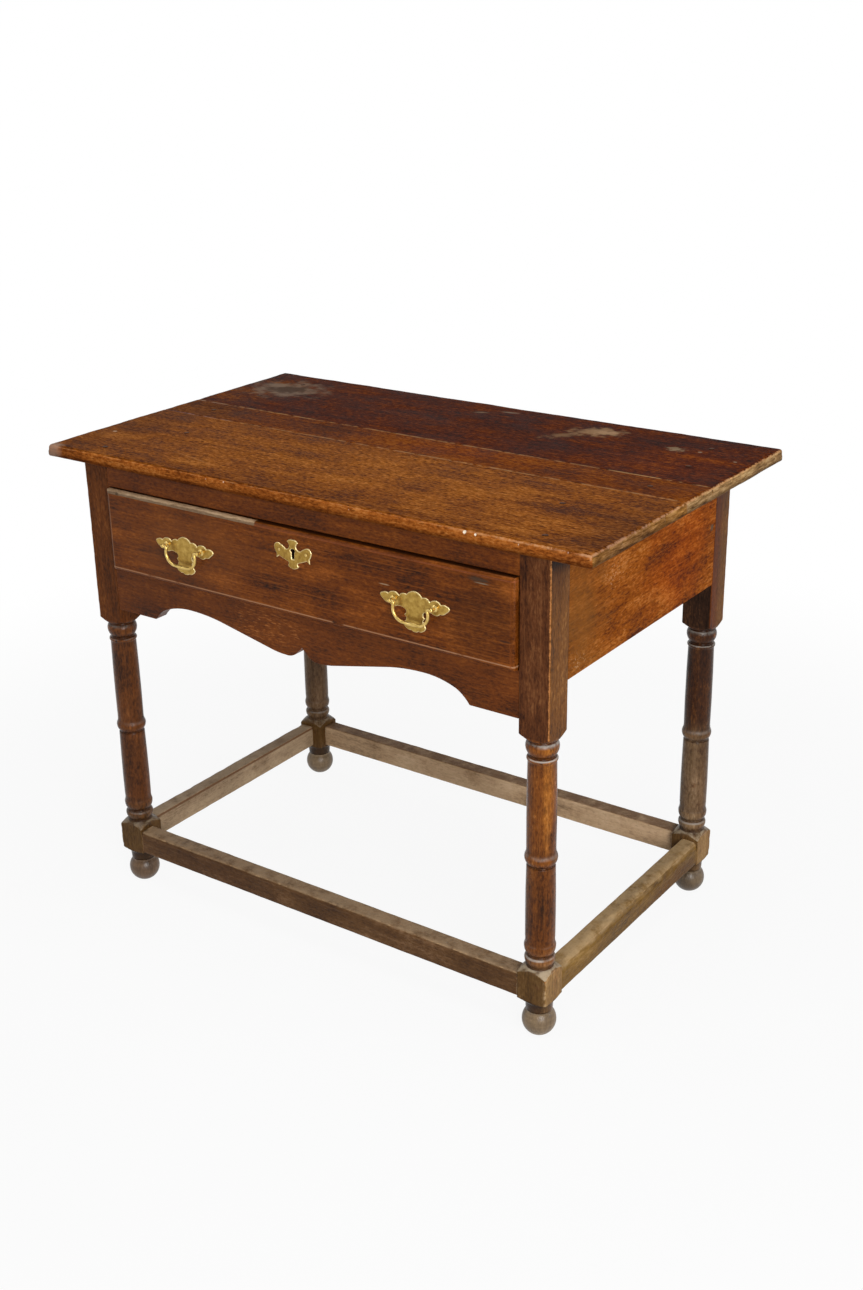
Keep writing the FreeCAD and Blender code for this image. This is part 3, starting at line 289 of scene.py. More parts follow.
class Oak(Finish):
    """A wood finish whose grain runs along one axis of the table."""

    def __init__(self, name, axis, tones, shift=0.0, streak=0.8, mottle=0.9, blotch=0.9,
                 pores=0.5, glints=0.2):
        super().__init__(name)
        self.sides = self.node("SeparateXYZ", {0: self.place}).outputs
        order = {key: self.sides[letter] for key, letter in zip("XYZ", GRAIN_AXES[axis])}
        self.along = self.node("CombineXYZ", order).outputs[0]
        self.offset = (shift, shift * 1.7, shift * 2.3)
        streaks = self.grain(STREAK_SCALE, 4, 0.65, 0.5)
        self.specks = self.grain(SPECK_SCALE, 3, 0.7)
        self.cloud = self.grain(CLOUD_SCALE, 5, 0.62)
        self.dots = self.grain(PORE_SCALE, 2, 0.5)
        self.tone = 0.5 - 0.5 * (streak + mottle + blotch)
        for pattern, weight in ((streaks, streak), (self.specks, mottle), (self.cloud, blotch)):
            self.tone = self.maths("MULTIPLY_ADD", pattern, weight, self.tone)
        self.pore = self.step(self.dots, 0.56, 0.7, pores)
        self.glint = self.step(self.grain(GLINT_SCALE, 2, 0.5), 0.56, 0.68, glints)
        self.colour = self.toned(tones)

    def grain(self, scale, detail, roughness, distortion=0.0):
        """Noise stretched along the grain."""
        place = self.stretch(scale, self.offset, self.along)
        return self.noise(place, 1.0, detail, roughness, distortion)

    def toned(self, tones):
        """Four tones, dark to light, laid along the grain, with bright lines and dark pores."""
        colour = self.ramp(self.tone, zip(TONE_STOPS, tones))
        return self.mix(self.pore, self.mix(self.glint, colour, tones[3]), tones[0])

    def retone(self, mask, tones, share=1.0):
        """Lay other tones over part of the timber, with the same grain running through."""
        self.mark(mask, self.toned(tones), share)

    def mark(self, mask, colour, share=1.0):
        """Cover a part with a colour."""
        self.colour = self.mix(self.maths("MULTIPLY", mask, share), self.colour, colour)

    def tint(self, mask, factor, share=1.0):
        """Darken or warm a part without hiding its grain."""
        share = self.maths("MULTIPLY", mask, share)
        self.colour = self.mix(share, self.colour, factor, "MULTIPLY")

    def shade(self, centre, size, scale, factor, share, ragged=0.5, soft=0.9):
        """Tint a wide, soft spot."""
        self.tint(self.spot(centre, size, 0.0, ragged, soft, scale), factor, share)

    def stain(self, centre, size, scale, colour, share, ragged=0.5, soft=0.9, turn=0.0):
        """Colour a spot."""
        self.mark(self.spot(centre, size, turn, ragged, soft, scale), colour, share)

    def wear(self, colour, low, high, share, scale):
        """Rub the finish off the worn edges, in uneven lengths."""
        arris = self.attribute("arris")
        ragged = self.noise(self.place, scale, 4, 0.7)
        rubbed = self.maths("MULTIPLY_ADD", ragged, 1.6, self.maths("SUBTRACT", arris, 0.8))
        mask = self.both(self.step(rubbed, low, high), self.step(arris, 0.0, 0.3))
        self.mark(mask, colour, share)

    def end_grain(self, tones):
        """Sawn ends: rough, with saw lines along the end."""
        saw = self.noise(self.stretch(SAW_SCALE), 1.0, 4, 0.7)
        self.mark(self.attribute("end"), self.ramp(saw, zip(SAW_STOPS, tones)))

    def line(self, letter, at, width, ragged):
        """A line where one coordinate has a given value, broken into uneven lengths."""
        gap = self.maths("ABSOLUTE", self.maths("SUBTRACT", self.sides[letter], at))
        broken = self.speckle(LINE_SCALE, ragged - 0.15, ragged, 4, 0.6)
        return self.both(self.step(gap, width, 0.3 * width), broken)

    def facing(self, direction, low, high):
        """1 where the surface faces along a direction of the table, falling to 0 as it turns away."""
        inputs = {0: self.node("NewGeometry").outputs["Normal"], 1: direction}
        along = self.node("VectorMath", inputs, operation="DOT_PRODUCT").outputs["Value"]
        return self.step(along, low, high)

    def finish(self, gloss, shine, depth=0.0004):
        """Send colour, gloss and relief to the shader, and hand the material over."""
        self.put(self.shader.inputs["Base Color"], self.colour)
        self.gloss(self.cloud, *gloss)
        self.shader.inputs["Specular IOR Level"].default_value = shine
        pits = self.maths("MULTIPLY_ADD", self.step(self.dots, 0.5, 0.7), -0.6, self.specks)
        self.bump(self.maths("MULTIPLY_ADD", self.cloud, 1.2, pits), depth, 0.6)
        return self.material


print("oak ready, grain axes:", sorted(GRAIN_AXES))

# %% [markdown]
# ## Timbers with uneven edges
#
# A sawn box has knife-sharp edges, but three hundred years of hands and feet round them unevenly.
# A bevel would be even all along, so these timbers are built as a fine grid on a box, with grid lines
# crowded near the edges, and each point near an edge is drawn in by a radius that wanders.

# %% A fine grid on a box
def crowded_lines(low, high, step, band, count=7):
    """Places from low to high: close together in a band at each end, about a step apart between."""
    near = band * (1 - np.cos(np.linspace(0, math.pi / 2, count)))
    inner = np.linspace(low + band, high - band, max(2, int((high - low - 2 * band) / step) + 1))
    return np.concatenate([low + near[:-1], inner, high - near[-2::-1]])


def box_grid(lines):
    """Points and four-sided faces on the six sides of a box of grid lines."""
    shape = [len(line) for line in lines]
    shell = np.ones(shape, bool)
    shell[1:-1, 1:-1, 1:-1] = False
    index = np.full(shape, -1)
    index[shell] = np.arange(shell.sum())
    points = np.stack(np.meshgrid(*lines, indexing="ij"), -1)[shell]
    faces = []
    for axis in range(3):
        for end in (0, -1):
            sheet = np.take(index, end, axis=axis)
            ring = np.stack([sheet[:-1, :-1], sheet[1:, :-1], sheet[1:, 1:], sheet[:-1, 1:]], -1)
            ring = ring.reshape(-1, 4)
            turned = (end == 0) != (axis == 1)
            faces.append(ring[:, ::-1] if turned else ring)
    return points, np.concatenate(faces)


def wander(points, scale, seed):
    """Smooth noise from -1 to 1 at each point."""
    shift = Vector((seed * 7.31, seed * 3.17, seed * 5.73))
    return np.array([noise.noise(Vector(p) * scale + shift) for p in points])


def add_piece(name, points, faces, numbers):
    """A mesh piece with smooth shading and its wear numbers stored on its points."""
    mesh = bpy.data.meshes.new(name)
    mesh.from_pydata(np.asarray(points).tolist(), [], [list(map(int, face)) for face in faces])
    for key, values in numbers.items():
        stored = mesh.attributes.new(key, "FLOAT", "POINT").data
        stored.foreach_set("value", np.asarray(values, np.float32))
    mesh.polygons.foreach_set("use_smooth", np.ones(len(mesh.polygons), bool))
    piece = bpy.data.objects.new(name, mesh)
    bpy.context.scene.collection.objects.link(piece)
    return piece


def stand_for(piece, node, body, material):
    """The piece takes a measured timber's place, moves with its body and gets its finish."""
    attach(piece, body)
    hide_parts(node)
    piece.data.materials.append(material)


print("grid of a small block:", len(box_grid([np.linspace(0, 1, 4)] * 3)[0]), "points")

# %% Round a box unevenly
def round_edges(points, low, high, radius, sides):
    """Draw points near the chosen sides' edges in to a rounding of that radius at each point."""
    radius = radius[:, None]
    inner_low = np.asarray(low) + radius * np.asarray(sides[0], float)
    inner_high = np.asarray(high) - radius * np.asarray(sides[1], float)
    core = np.clip(points, inner_low, inner_high)
    out = points - core
    length = np.linalg.norm(out, axis=1, keepdims=True)
    safe = np.where(length > 1e-9, length, 1.0)
    return np.where(length > 1e-9, core + out / safe * radius, points)


def edge_nearness(points, low, high, width, sides):
    """1 on the edges between the chosen sides, falling to 0 a width away."""
    gaps = []
    for axis in range(3):
        if sides[0][axis]:
            gaps.append(points[:, axis] - low[axis])
        if sides[1][axis]:
            gaps.append(high[axis] - points[:, axis])
    second = np.sort(np.stack(gaps, -1), axis=1)[:, 1]
    return np.clip(1 - second / width, 0, 1)


print("edge rounding ready")

# %% [markdown]
# ## The top
#
# Three oak boards lie side by side: a wide golden one in front, a narrow red-brown one, and a dark
# wide one behind. Their outer edges are rounded, with small chips along the front and nicks along the
# right end, and pale dust marks the joints. Each board is a rounded grid with its own finish.

# %% Joints, chips and nicks
MM = 0.001
JOINT_ROUND, JOINT_WIDTH, RIM_WIDTH = 0.9 * MM, 2.2 * MM, 3 * MM
# each chip in the front edge: place along the edge, half its length in millimetres
CHIPS = [
    (0.278, 3.2), (0.294, 2.0), (0.356, 1.7), (-0.114, 2.2), (-0.146, 1.5), (0.1, 1.4), (0.424, 1.6),
]
# the first chips are bare oak, and the others have darkened
BARE_CHIPS, DARK_CHIP, CHIP_REACH, CHIP_DEEP = 2, 0.4, 3.2 * MM, 0.35 * MM
# each nick in the right end: place along the end, half its length in millimetres
END_NICKS = [
    (-0.252, 4.0), (-0.222, 3.0), (-0.19, 5.0), (-0.152, 3.0), (-0.118, 6.0), (-0.08, 4.0),
    (-0.045, 3.0), (-0.025, 5.0), (0.004, 4.0), (0.03, 6.0), (0.05, 4.0), (0.075, 5.0),
    (0.108, 3.0), (0.14, 5.0), (0.178, 3.0), (0.215, 6.0), (0.25, 3.0),
]
NICK_DEEP, NICK_REACH, NICK_TALL = 1.6 * MM, 5 * MM, 4 * MM


def with_lines(lines, low, high, marks):
    """Add grid lines across each mark, given as its place and half its length."""
    extra = np.concatenate([place + np.linspace(-half, half, 7) for place, half in marks])
    extra = extra[(extra > low) & (extra < high)]
    mixed = np.unique(np.round(np.concatenate([lines, extra]), 5))
    mixed[[0, -1]] = low, high
    return mixed


def long_edges(points, shaped, low, high, outer, top):
    """Round the upper edges of the joints, and tell how near each point is to a joint or a rim."""
    joint, rim = np.zeros(len(points)), np.zeros(len(points))
    for free, gap in zip(outer, (points[:, 1] - low[1], high[1] - points[:, 1])):
        if free:
            rim = np.maximum(rim, np.clip(1 - gap / RIM_WIDTH, 0, 1))
        else:
            share = np.clip(gap / JOINT_ROUND, 0, 1)
            shaped[:, 2] -= np.where(top, JOINT_ROUND * (1 - np.sqrt(1 - (1 - share) ** 2)), 0)
            joint = np.maximum(joint, np.where(top, np.clip(1 - gap / JOINT_WIDTH, 0, 1), 0))
    return joint, rim


def bite(points, spot, reach):
    """1 at a spot, falling to 0 at a reach along each axis."""
    near = np.linalg.norm((points - np.array(spot)) / reach, axis=1)
    return np.clip(1 - near ** 2, 0, 1)


def break_chips(shaped, low, high):
    """Break the chips from the front edge, and tell how bare each point is."""
    bare = np.zeros(len(shaped))
    for number, (x, half) in enumerate(CHIPS):
        spot = (x, low[1], high[2] - (3 + number % 3) * MM)
        share = bite(shaped, spot, [half * MM, CHIP_REACH, half * MM])
        shaped[:, 1] += share * half * CHIP_DEEP
        bare = np.maximum(bare, share * (1.0 if number < BARE_CHIPS else DARK_CHIP))
    return bare


print("chips:", len(CHIPS), "nicks:", len(END_NICKS))

# %% Cut the three boards
BOARD_STEP, BOARD_BAND, EDGE_STEP, EDGE_BAND = 7 * MM, 9 * MM, 3 * MM, 7 * MM
TOP_ROUND, UNDER_ROUND, BOARD_SAG = 5.5 * MM, 3.0 * MM, 0.3 * MM
WORN_WIDTH, UNDER_WORN = 6 * MM, 0.2


def board(node, seed, open_front, open_back):
    """A worn board: a fine grid with wandering roundings, softened joints, chips and nicks."""
    low, high = (np.array(corner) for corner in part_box(node))
    nicks = [(y, half * MM) for y, half in END_NICKS if low[1] < y < high[1]]
    along = crowded_lines(low[0], high[0], BOARD_STEP, BOARD_BAND)
    if open_front:
        along = with_lines(along, low[0], high[0], [(x, half * MM) for x, half in CHIPS])
    across = crowded_lines(low[1], high[1], BOARD_STEP, BOARD_BAND)
    across = with_lines(across, low[1], high[1], nicks)
    points, faces = box_grid([along, across, crowded_lines(low[2], high[2], EDGE_STEP, EDGE_BAND)])
    sides = [(True, open_front, True), (True, open_back, True)]
    top = points[:, 2] > (low[2] + high[2]) / 2
    ripple = 1 + 0.45 * wander(points, 22, seed) + 0.2 * wander(points, 90, seed + 1)
    shaped = round_edges(points, low, high, np.where(top, TOP_ROUND, UNDER_ROUND) * ripple, sides)
    joint, rim = long_edges(points, shaped, low, high, (open_front, open_back), top)
    shaped[:, 2] -= np.where(top, BOARD_SAG * (1 + wander(points, 6, seed + 2)), 0)
    chip = break_chips(shaped, low, high) if open_front else np.zeros(len(points))
    for number, (y, half) in enumerate(nicks):
        spot = (high[0], y, high[2] - (1 + 2 * (number % 3)) * MM)
        shaped[:, 0] -= bite(shaped, spot, [NICK_REACH, half, NICK_TALL]) * NICK_DEEP
    worn = edge_nearness(points, low, high, WORN_WIDTH, sides) * np.where(top, 1.0, UNDER_WORN)
    ends = np.minimum(points[:, 0] - low[0], high[0] - points[:, 0]) < 1e-6
    numbers = {"arris": worn, "end": ends, "joint": joint, "chip": chip, "rim": rim}
    return add_piece(node + "_worn", shaped, faces, numbers)


boards = {
    "front": board("top_front_board", 1, True, False),
    "middle": board("top_middle_board", 2, False, False),
    "back": board("top_back_board", 3, False, True),
}
print("board points:", [len(piece.data.vertices) for piece in boards.values()])

# %% [markdown]
# The boards share one recipe and differ in tone. Old spills, rubbed places and bare patches are laid
# over the grain as ragged spots, each at its own place on the board. One grey spot at the back left is
# a painted sheen, a painted reflection on the polish.

# %% Finish the boards
BOARD_TONES = {
    "front": [
        (0.043, 0.009, 0.001), (0.147, 0.039, 0.003), (0.223, 0.066, 0.007), (0.352, 0.128, 0.026),
    ],
    "middle": [(0.028, 0.005, 0.001), (0.097, 0.02, 0.001), (0.148, 0.034, 0.001), (0.24, 0.07, 0.008)],
    "back": [(0.011, 0.002, 0.001), (0.044, 0.006, 0.001), (0.073, 0.012, 0.001), (0.15, 0.034, 0.003)],
}
END_TONES = {
    "front": [(0.07, 0.028, 0.006), (0.245, 0.106, 0.021), (0.45, 0.24, 0.073)],
    "middle": [(0.07, 0.035, 0.012), (0.25, 0.135, 0.05), (0.44, 0.29, 0.14)],
    "back": [(0.1, 0.052, 0.019), (0.27, 0.15, 0.06), (0.43, 0.28, 0.135)],
}
# tones of the rounded long edges: their own orange, brightened as a painted highlight
RIM_TONES_AND_HIGHLIGHT = [(0.12, 0.03, 0.004), (0.25, 0.067, 0.01), (0.33, 0.098, 0.015), (0.44, 0.16, 0.036)]
PALE_DUST, RUBBED_EDGE, CHIPPED_OAK = (0.36, 0.2, 0.09), (0.46, 0.24, 0.11), (0.78, 0.68, 0.52)
# the second colour is painted shade: it darkens the lower half of the long edges and the ends
WORN_EDGE, UNDER_EDGE_PAINTED_SHADE = (0.44, 0.2, 0.07), (0.42, 0.38, 0.34)
# heights and lengths where a mask starts and where it is full
UNDER_PART, RIGHT_PART = (0.706, 0.699), (0.15, 0.42)
# a spot on the top lies at this height; a spot this large reaches through any timber
HIGH, FLAT = 0.71, 9.0


def board_finish(key, shift):
    wood = Oak(key + "_board_oak", "x", BOARD_TONES[key], shift, mottle=2.0, blotch=1.2, pores=0.85)
    wood.end_grain(END_TONES[key])
    rim, arris = wood.attribute("rim"), wood.attribute("arris")
    # brighter tones on the rounded long edges, partly a painted highlight
    wood.retone(wood.step(rim, 0.1, 0.6), RIM_TONES_AND_HIGHLIGHT)
    outside = wood.maths("MAXIMUM", rim, wood.attribute("end"))
    # painted shade on the lower half of the long edges and the ends
    wood.tint(wood.both(outside, wood.step(wood.sides["Z"], *UNDER_PART)), UNDER_EDGE_PAINTED_SHADE)
    wood.wear(WORN_EDGE, 0.75, 1.15, share=0.6, scale=120.0)
    bare = wood.both(wood.step(arris, 0.35, 0.8), wood.step(wood.sides["X"], *RIGHT_PART))
    wood.mark(wood.both(bare, wood.speckle(110.0, 0.42, 0.6)), RUBBED_EDGE, 0.8)
    dust = wood.both(wood.attribute("joint"), wood.speckle(70.0, 0.35, 0.6, 3, 0.5))
    wood.mark(dust, PALE_DUST, 0.8)
    wood.mark(wood.step(wood.attribute("chip"), 0.15, 0.5), CHIPPED_OAK)
    return wood


print("boards to finish:", list(BOARD_TONES))

# %% Spots on the boards
# each shade: (x, y), (half length, half width), noise scale, factor, share
BOARD_SHADES = {
    "front": [
        ((-0.03, -0.12), (0.36, 0.08), 12, (1.25, 1.35, 1.5), 0.5),
        ((-0.43, -0.12), (0.10, 0.26), 14, (0.62, 0.6, 0.8), 0.75),
        ((0.44, -0.18), (0.07, 0.16), 18, (0.62, 0.64, 1.0), 0.75),
        ((0.05, -0.252), (0.5, 0.022), 20, (0.6, 0.55, 0.6), 0.65),
    ],
    "middle": [
        ((-0.40, 0.01), (0.12, 0.2), 16, (0.72, 0.9, 2.5), 0.8),
        ((0.08, 0.02), (0.16, 0.05), 18, (1.35, 1.2, 0.8), 0.65),
        ((0.14, -0.005), (0.03, 0.01), 50, (0.35, 0.3, 0.3), 0.7),
        ((-0.16, 0.02), (0.07, 0.03), 40, (0.5, 0.45, 0.45), 0.7),
    ],
    "back": [
        # painted reflection: this spot greys and lightens the back left corner as a sheen on the polish
        ((-0.42, 0.15), (0.10, 0.14), 15, (1.6, 2.4, 4.0), 0.75),
        ((0.38, 0.12), (0.15, 0.14), 14, (1.6, 1.7, 1.6), 0.6),
        ((-0.05, 0.068), (0.03, 0.013), 60, (0.25, 0.2, 0.2), 0.85),
        ((0.05, 0.16), (0.12, 0.05), 30, (0.65, 0.6, 0.6), 0.6),
    ],
}
# each mark: (x, y), (half length, half width), turn, ragged, soft, noise scale, colour, share
BOARD_MARKS = {
    "front": [
        ((-0.424, -0.161), (0.0045, 0.0035), 0.3, 0.2, 0.5, 200, (0.5, 0.36, 0.24), 0.8),
        ((-0.222, -0.207), (0.066, 0.0011), -0.229, 0.1, 0.7, 200, (0.42, 0.2, 0.07), 0.6),
        ((-0.452, -0.262), (0.03, 0.014), 0.0, 0.5, 0.7, 60, (0.36, 0.23, 0.16), 0.65),
    ],
    "middle": [],
    "back": [
        ((-0.375, 0.185), (0.085, 0.062), 0.2, 0.9, 0.8, 55, (0.19, 0.13, 0.087), 0.8),
        ((-0.37, 0.182), (0.045, 0.03), 0.3, 0.8, 0.6, 60, (0.035, 0.014, 0.006), 0.8),
        ((0.19, 0.215), (0.05, 0.03), 0.45, 0.95, 0.8, 70, (0.27, 0.155, 0.075), 0.8),
        ((0.205, 0.218), (0.028, 0.016), 0.2, 0.9, 0.7, 120, (0.36, 0.225, 0.12), 0.55),
        ((0.155, 0.172), (0.04, 0.014), 0.95, 0.95, 0.8, 90, (0.22, 0.125, 0.06), 0.6),
        ((0.33, 0.193), (0.018, 0.013), 0.0, 0.95, 0.8, 150, (0.26, 0.19, 0.11), 0.7),
        ((-0.02, 0.222), (0.02, 0.006), 0.4, 0.5, 0.8, 90, (0.2, 0.13, 0.08), 0.6),
        ((0.02, 0.245), (0.02, 0.005), 0.2, 0.5, 0.8, 90, (0.26, 0.2, 0.14), 0.6),
        ((0.366, 0.197), (0.004, 0.004), 0.0, 0.2, 0.6, 200, (0.3, 0.22, 0.15), 0.7),
        ((0.429, 0.177), (0.004, 0.003), 0.0, 0.2, 0.6, 200, (0.3, 0.22, 0.15), 0.7),
    ],
}
for number, key in enumerate(boards):
    wood = board_finish(key, 3.0 * number)
    for (x, y), (long, wide), scale, factor, share in BOARD_SHADES[key]:
        wood.shade((x, y, HIGH), (long, wide, FLAT), scale, factor, share)
    for (x, y), (long, wide), turn, ragged, soft, scale, colour, share in BOARD_MARKS[key]:
        size = (long, wide, FLAT)
        wood.stain((x, y, HIGH), size, scale, colour, share, ragged, soft, turn)
    finish = wood.finish((0.46, 0.62), shine=0.018)
    stand_for(boards[key], f"top_{key}_board", "frame", finish)
print("boards finished")

# %% [markdown]
# ## Pegs in the top
#
# Oak pegs hold the boards down. They have shrunk and stand a hair proud, with a dark ring of wax
# around each. A peg is turned here as a round head on a straight stem.

# %% Drive the pegs
PEG_RADIUS, PEG_RISE, PEG_STEPS = 4.0 * MM, 0.35 * MM, 24
PEG_TONES = [(0.02, 0.007, 0.002), (0.05, 0.016, 0.005), (0.08, 0.03, 0.01), (0.14, 0.06, 0.025)]


def around(axis, reach, angles, heights):
    """Points at a reach from an upright axis, in the given directions and at the given heights."""
    x, y = axis.x + reach * np.cos(angles), axis.y + reach * np.sin(angles)
    return np.stack([x, y, heights], -1).reshape(-1, 3)


def tube_faces(rows, count):
    """Faces of a tube of rings: its sides, then its lower and its upper end."""
    start = np.arange(rows - 1)[:, None] * count
    here, following = start + np.arange(count), start + (np.arange(count) + 1) % count
    sides = np.stack([here, following, following + count, here + count], -1).reshape(-1, 4)
    lower, upper = list(range(count))[::-1], list(range((rows - 1) * count, rows * count))
    return sides.tolist() + [lower, upper]


def peg_places():
    """Middles of the measured pegs, from their separate clusters of points."""
    spots = []
    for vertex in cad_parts["top_pegs"].data.vertices:
        flat = Vector((vertex.co.x, vertex.co.y))
        for group in spots:
            if (group[0] - flat).length < 3 * PEG_RADIUS:
                group.append(flat)
                break
        else:
            spots.append([flat])
    return [sum(group, Vector((0, 0))) / len(group) for group in spots]


def drive_pegs(places):
    """All the pegs as one piece: rings of shrinking radius, from a straight stem to a round head."""
    low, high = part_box("top_pegs")
    shares = np.array([1.0, 1.0, 0.86, 0.5])[:, None]
    heights = np.array([low.z, high.z, high.z + 0.7 * PEG_RISE, high.z + PEG_RISE])[:, None]
    turns = 2 * math.pi * np.arange(PEG_STEPS) / PEG_STEPS
    rings = np.broadcast_arrays(PEG_RADIUS * shares, turns, heights)
    points, faces = [], []
    for place in places:
        faces += [[len(points) + n for n in face] for face in tube_faces(len(shares), PEG_STEPS)]
        points += around(place, *rings).tolist()
    rim = np.tile(np.repeat(shares > 0.8, PEG_STEPS), len(places))
    return add_piece("top_pegs_worn", points, faces, {"arris": rim})


places = peg_places()
pegs = drive_pegs(places)
peg_oak = Oak("peg_oak", "z", PEG_TONES)
peg_oak.mark(peg_oak.attribute("arris"), (0.015, 0.006, 0.003), 0.8)
stand_for(pegs, "top_pegs", "frame", peg_oak.finish((0.42, 0.55), shine=0.08))
print("pegs:", len(places))

# %% [markdown]
# ## Turned legs
#
# Each leg starts as a square post and is turned between its square blocks. The measured leg already
# has the right profile, so its outline is felt with rays: one ray per height, along the outer corner's
# direction, gives the turned radius. Then its rings are turned a little fuller, its grooves deeper and
# the neck above the foot slimmer. A new skin is wrapped round that profile, with a corner rounding
# that wanders, and with numbers that tell the finish where corners, ring tops and grooves are.

# %% Feel the profile of a leg
POST_HALF, SHOULDER_HALF, FEEL_FROM = 22.5 * MM, 31.5 * MM, 60 * MM
FEEL_STEP, PROFILE_SLACK, LONGEST_GAP, SHOULDER_GAP = 0.4 * MM, 0.05 * MM, 5 * MM, 1 * MM
# the turned rings, each as heights and radii in millimetres, from below up
RINGS = {
    "neck": [
        (37.9, 18.3), (41, 18.7), (46, 18.9), (51, 19.5), (54, 20.7), (55.6, 23.5), (56.8, 28),
        (57.9, 31.9),
    ],
    "lower ring": [
        (107.4, 19.2), (108.2, 17.9), (109.4, 17.6), (111, 18.3), (113.5, 19.6), (116, 20.5),
        (118.5, 21), (121, 21), (122.8, 20.4), (124.2, 19.3), (125.2, 18.2), (126.2, 17.5),
        (127.2, 17.6), (128.2, 18.3), (129.6, 19.4), (131.5, 20.4), (134, 21.2), (137, 21.6),
        (140, 21.7),
    ],
    "middle ring": [
        (260.5, 19.5), (261.4, 19.2), (262.4, 17.9), (263.6, 17.5), (264.6, 18), (265.8, 19.6),
        (268, 21), (271, 22), (274, 22.3), (277, 21.8), (279, 20.9), (281, 20.2), (285, 19.8),
    ],
    "upper ring": [
        (414, 19.1), (415, 19.3), (415.8, 20.2), (417, 20.7), (418.6, 20.6), (419.6, 19.9),
        (420.6, 18), (422, 17.3), (423.2, 17.8), (425, 19.2), (428, 20.7), (431, 21.7),
        (434, 22.1), (437, 22), (440, 21.2), (442, 20), (443.6, 18.6), (444.6, 18.3), (445.4, 19.2),
    ],
}


def middle_axis(node):
    """Where a leg's upright axis stands, and the direction of its outer corner."""
    low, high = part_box(node)
    axis = ((low + high) / 2).xy
    return axis, (math.copysign(1, axis.x), math.copysign(1, axis.y))


def felt_profile(node):
    """Heights along a leg and its turned radius at each."""
    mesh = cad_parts[node].data
    corners, sides = [v.co for v in mesh.vertices], [p.vertices[:] for p in mesh.polygons]
    tree = BVHTree.FromPolygons(corners, sides)
    axis, outward = middle_axis(node)
    low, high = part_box(node)
    heights = np.arange(low.z + 0.05 * MM, high.z, FEEL_STEP)
    direction = Vector((*outward, 0)).normalized()
    starts = [Vector((*axis, height)) + direction * FEEL_FROM for height in heights]
    radii = [FEEL_FROM - tree.ray_cast(start, -direction)[3] for start in starts]
    return heights, turn_rings(heights, np.array(radii))


def turn_rings(heights, radii):
    """Turn the rings fuller, with deeper grooves, and smooth the tool marks between their points."""
    for ring in RINGS.values():
        z, r = np.array(ring).T * MM
        radii = np.where((heights > z[0]) & (heights < z[-1]), np.interp(heights, z, r), radii)
    slim = radii < POST_HALF
    eased = np.convolve(np.pad(radii, 1, "edge"), (0.25, 0.5, 0.25), "valid")
    return np.where(slim, eased, radii)


def fewest_heights(heights, radii):
    """Keep the heights that the profile needs, with no long gaps between them."""
    kept, spans = {0, len(heights) - 1}, [(0, len(heights) - 1)]
    while spans:
        first, last = spans.pop()
        if last - first < 2:
            continue
        inside = np.arange(first + 1, last)
        straight = np.interp(heights[inside], heights[[first, last]], radii[[first, last]])
        misfit = np.abs(radii[inside] - straight)
        shoulder = POST_HALF < radii[inside].mean() < SHOULDER_HALF
        widest = SHOULDER_GAP if shoulder else LONGEST_GAP
        bent = misfit.max() > PROFILE_SLACK
        if bent or heights[last] - heights[first] > widest:
            middle = inside[misfit.argmax()] if bent else (first + last) // 2
            kept.add(middle)
            spans += [(first, middle), (middle, last)]
    return sorted(kept)


felt = felt_profile("front_right_leg")
print("heights felt:", len(felt[0]), "kept:", len(fewest_heights(*felt)))

# %% Corners of a leg
CORNER_TURNS = np.radians([45, 135, 225, 315])
WORN_CORNER, INNER_CORNER, LEAST_CORNER, MOST_CORNER = 2.0 * MM, 1.3 * MM, 0.5 * MM, 9 * MM


def corner_angles():
    """Directions round a leg, crowded near the four corners."""
    close, wide = np.linspace(-45, -38, 8)[:-1], np.linspace(-38, 38, 17)
    quarter = np.concatenate([close, wide, np.linspace(38, 45, 8)[1:-1]])
    return np.radians(np.concatenate([quarter + 90 * turn for turn in range(4)]))


def square_reach(angles, rounding):
    """Distance from the middle to a square post's side in each direction, with rounded corners."""
    c, s = np.abs(np.cos(angles)), np.abs(np.sin(angles))
    c, s = np.maximum(c, s), np.minimum(c, s)
    flat = POST_HALF / c
    core = POST_HALF - rounding
    middle = (c + s) * core
    corner = middle + np.sqrt(np.maximum(middle ** 2 - 2 * core ** 2 + rounding ** 2, 0))
    return np.where(flat * s > core, corner, flat)


def corner_rounding(axis, heights, outward, chips, seed):
    """A wandering rounding for each of the four corners at each height, larger where a chip is."""
    columns = []
    for number, turn in enumerate(CORNER_TURNS):
        places = [(axis.x + number, axis.y, height) for height in heights]
        outer = math.cos(turn) * outward[0] + math.sin(turn) * outward[1] > 1
        ripple = 1 + 0.35 * wander(places, 30, seed) + 0.35 * wander(places, 110, seed + 1)
        line = (WORN_CORNER if outer else INNER_CORNER) * ripple
        for height, half, depth in chips if outer else []:
            line = line + depth * MM * np.clip(1 - ((heights - height) / half) ** 2, 0, 1)
        columns.append(np.clip(line, LEAST_CORNER, MOST_CORNER))
    return np.stack(columns, -1)


print("directions round a leg:", len(corner_angles()))

# %% Wear of a leg
RING_SPREAD, TURNED_RADIUS, RING_FULL = 9 * MM, 27 * MM, 19.1 * MM
LOW_BLOCK, LOW_WORN = 0.095, 0.55
# full relief of a ring and of a groove in millimetres
FULL_CREST, FULL_GROOVE = 1.2, 1.4


def ring_relief(radii):
    """How far the profile stands out from, or lies below, its own average over a short span."""
    span = int(RING_SPREAD / FEEL_STEP)
    window = np.ones(2 * span + 1) / (2 * span + 1)
    return (radii - np.convolve(np.pad(radii, span, "edge"), window, "valid")) / MM


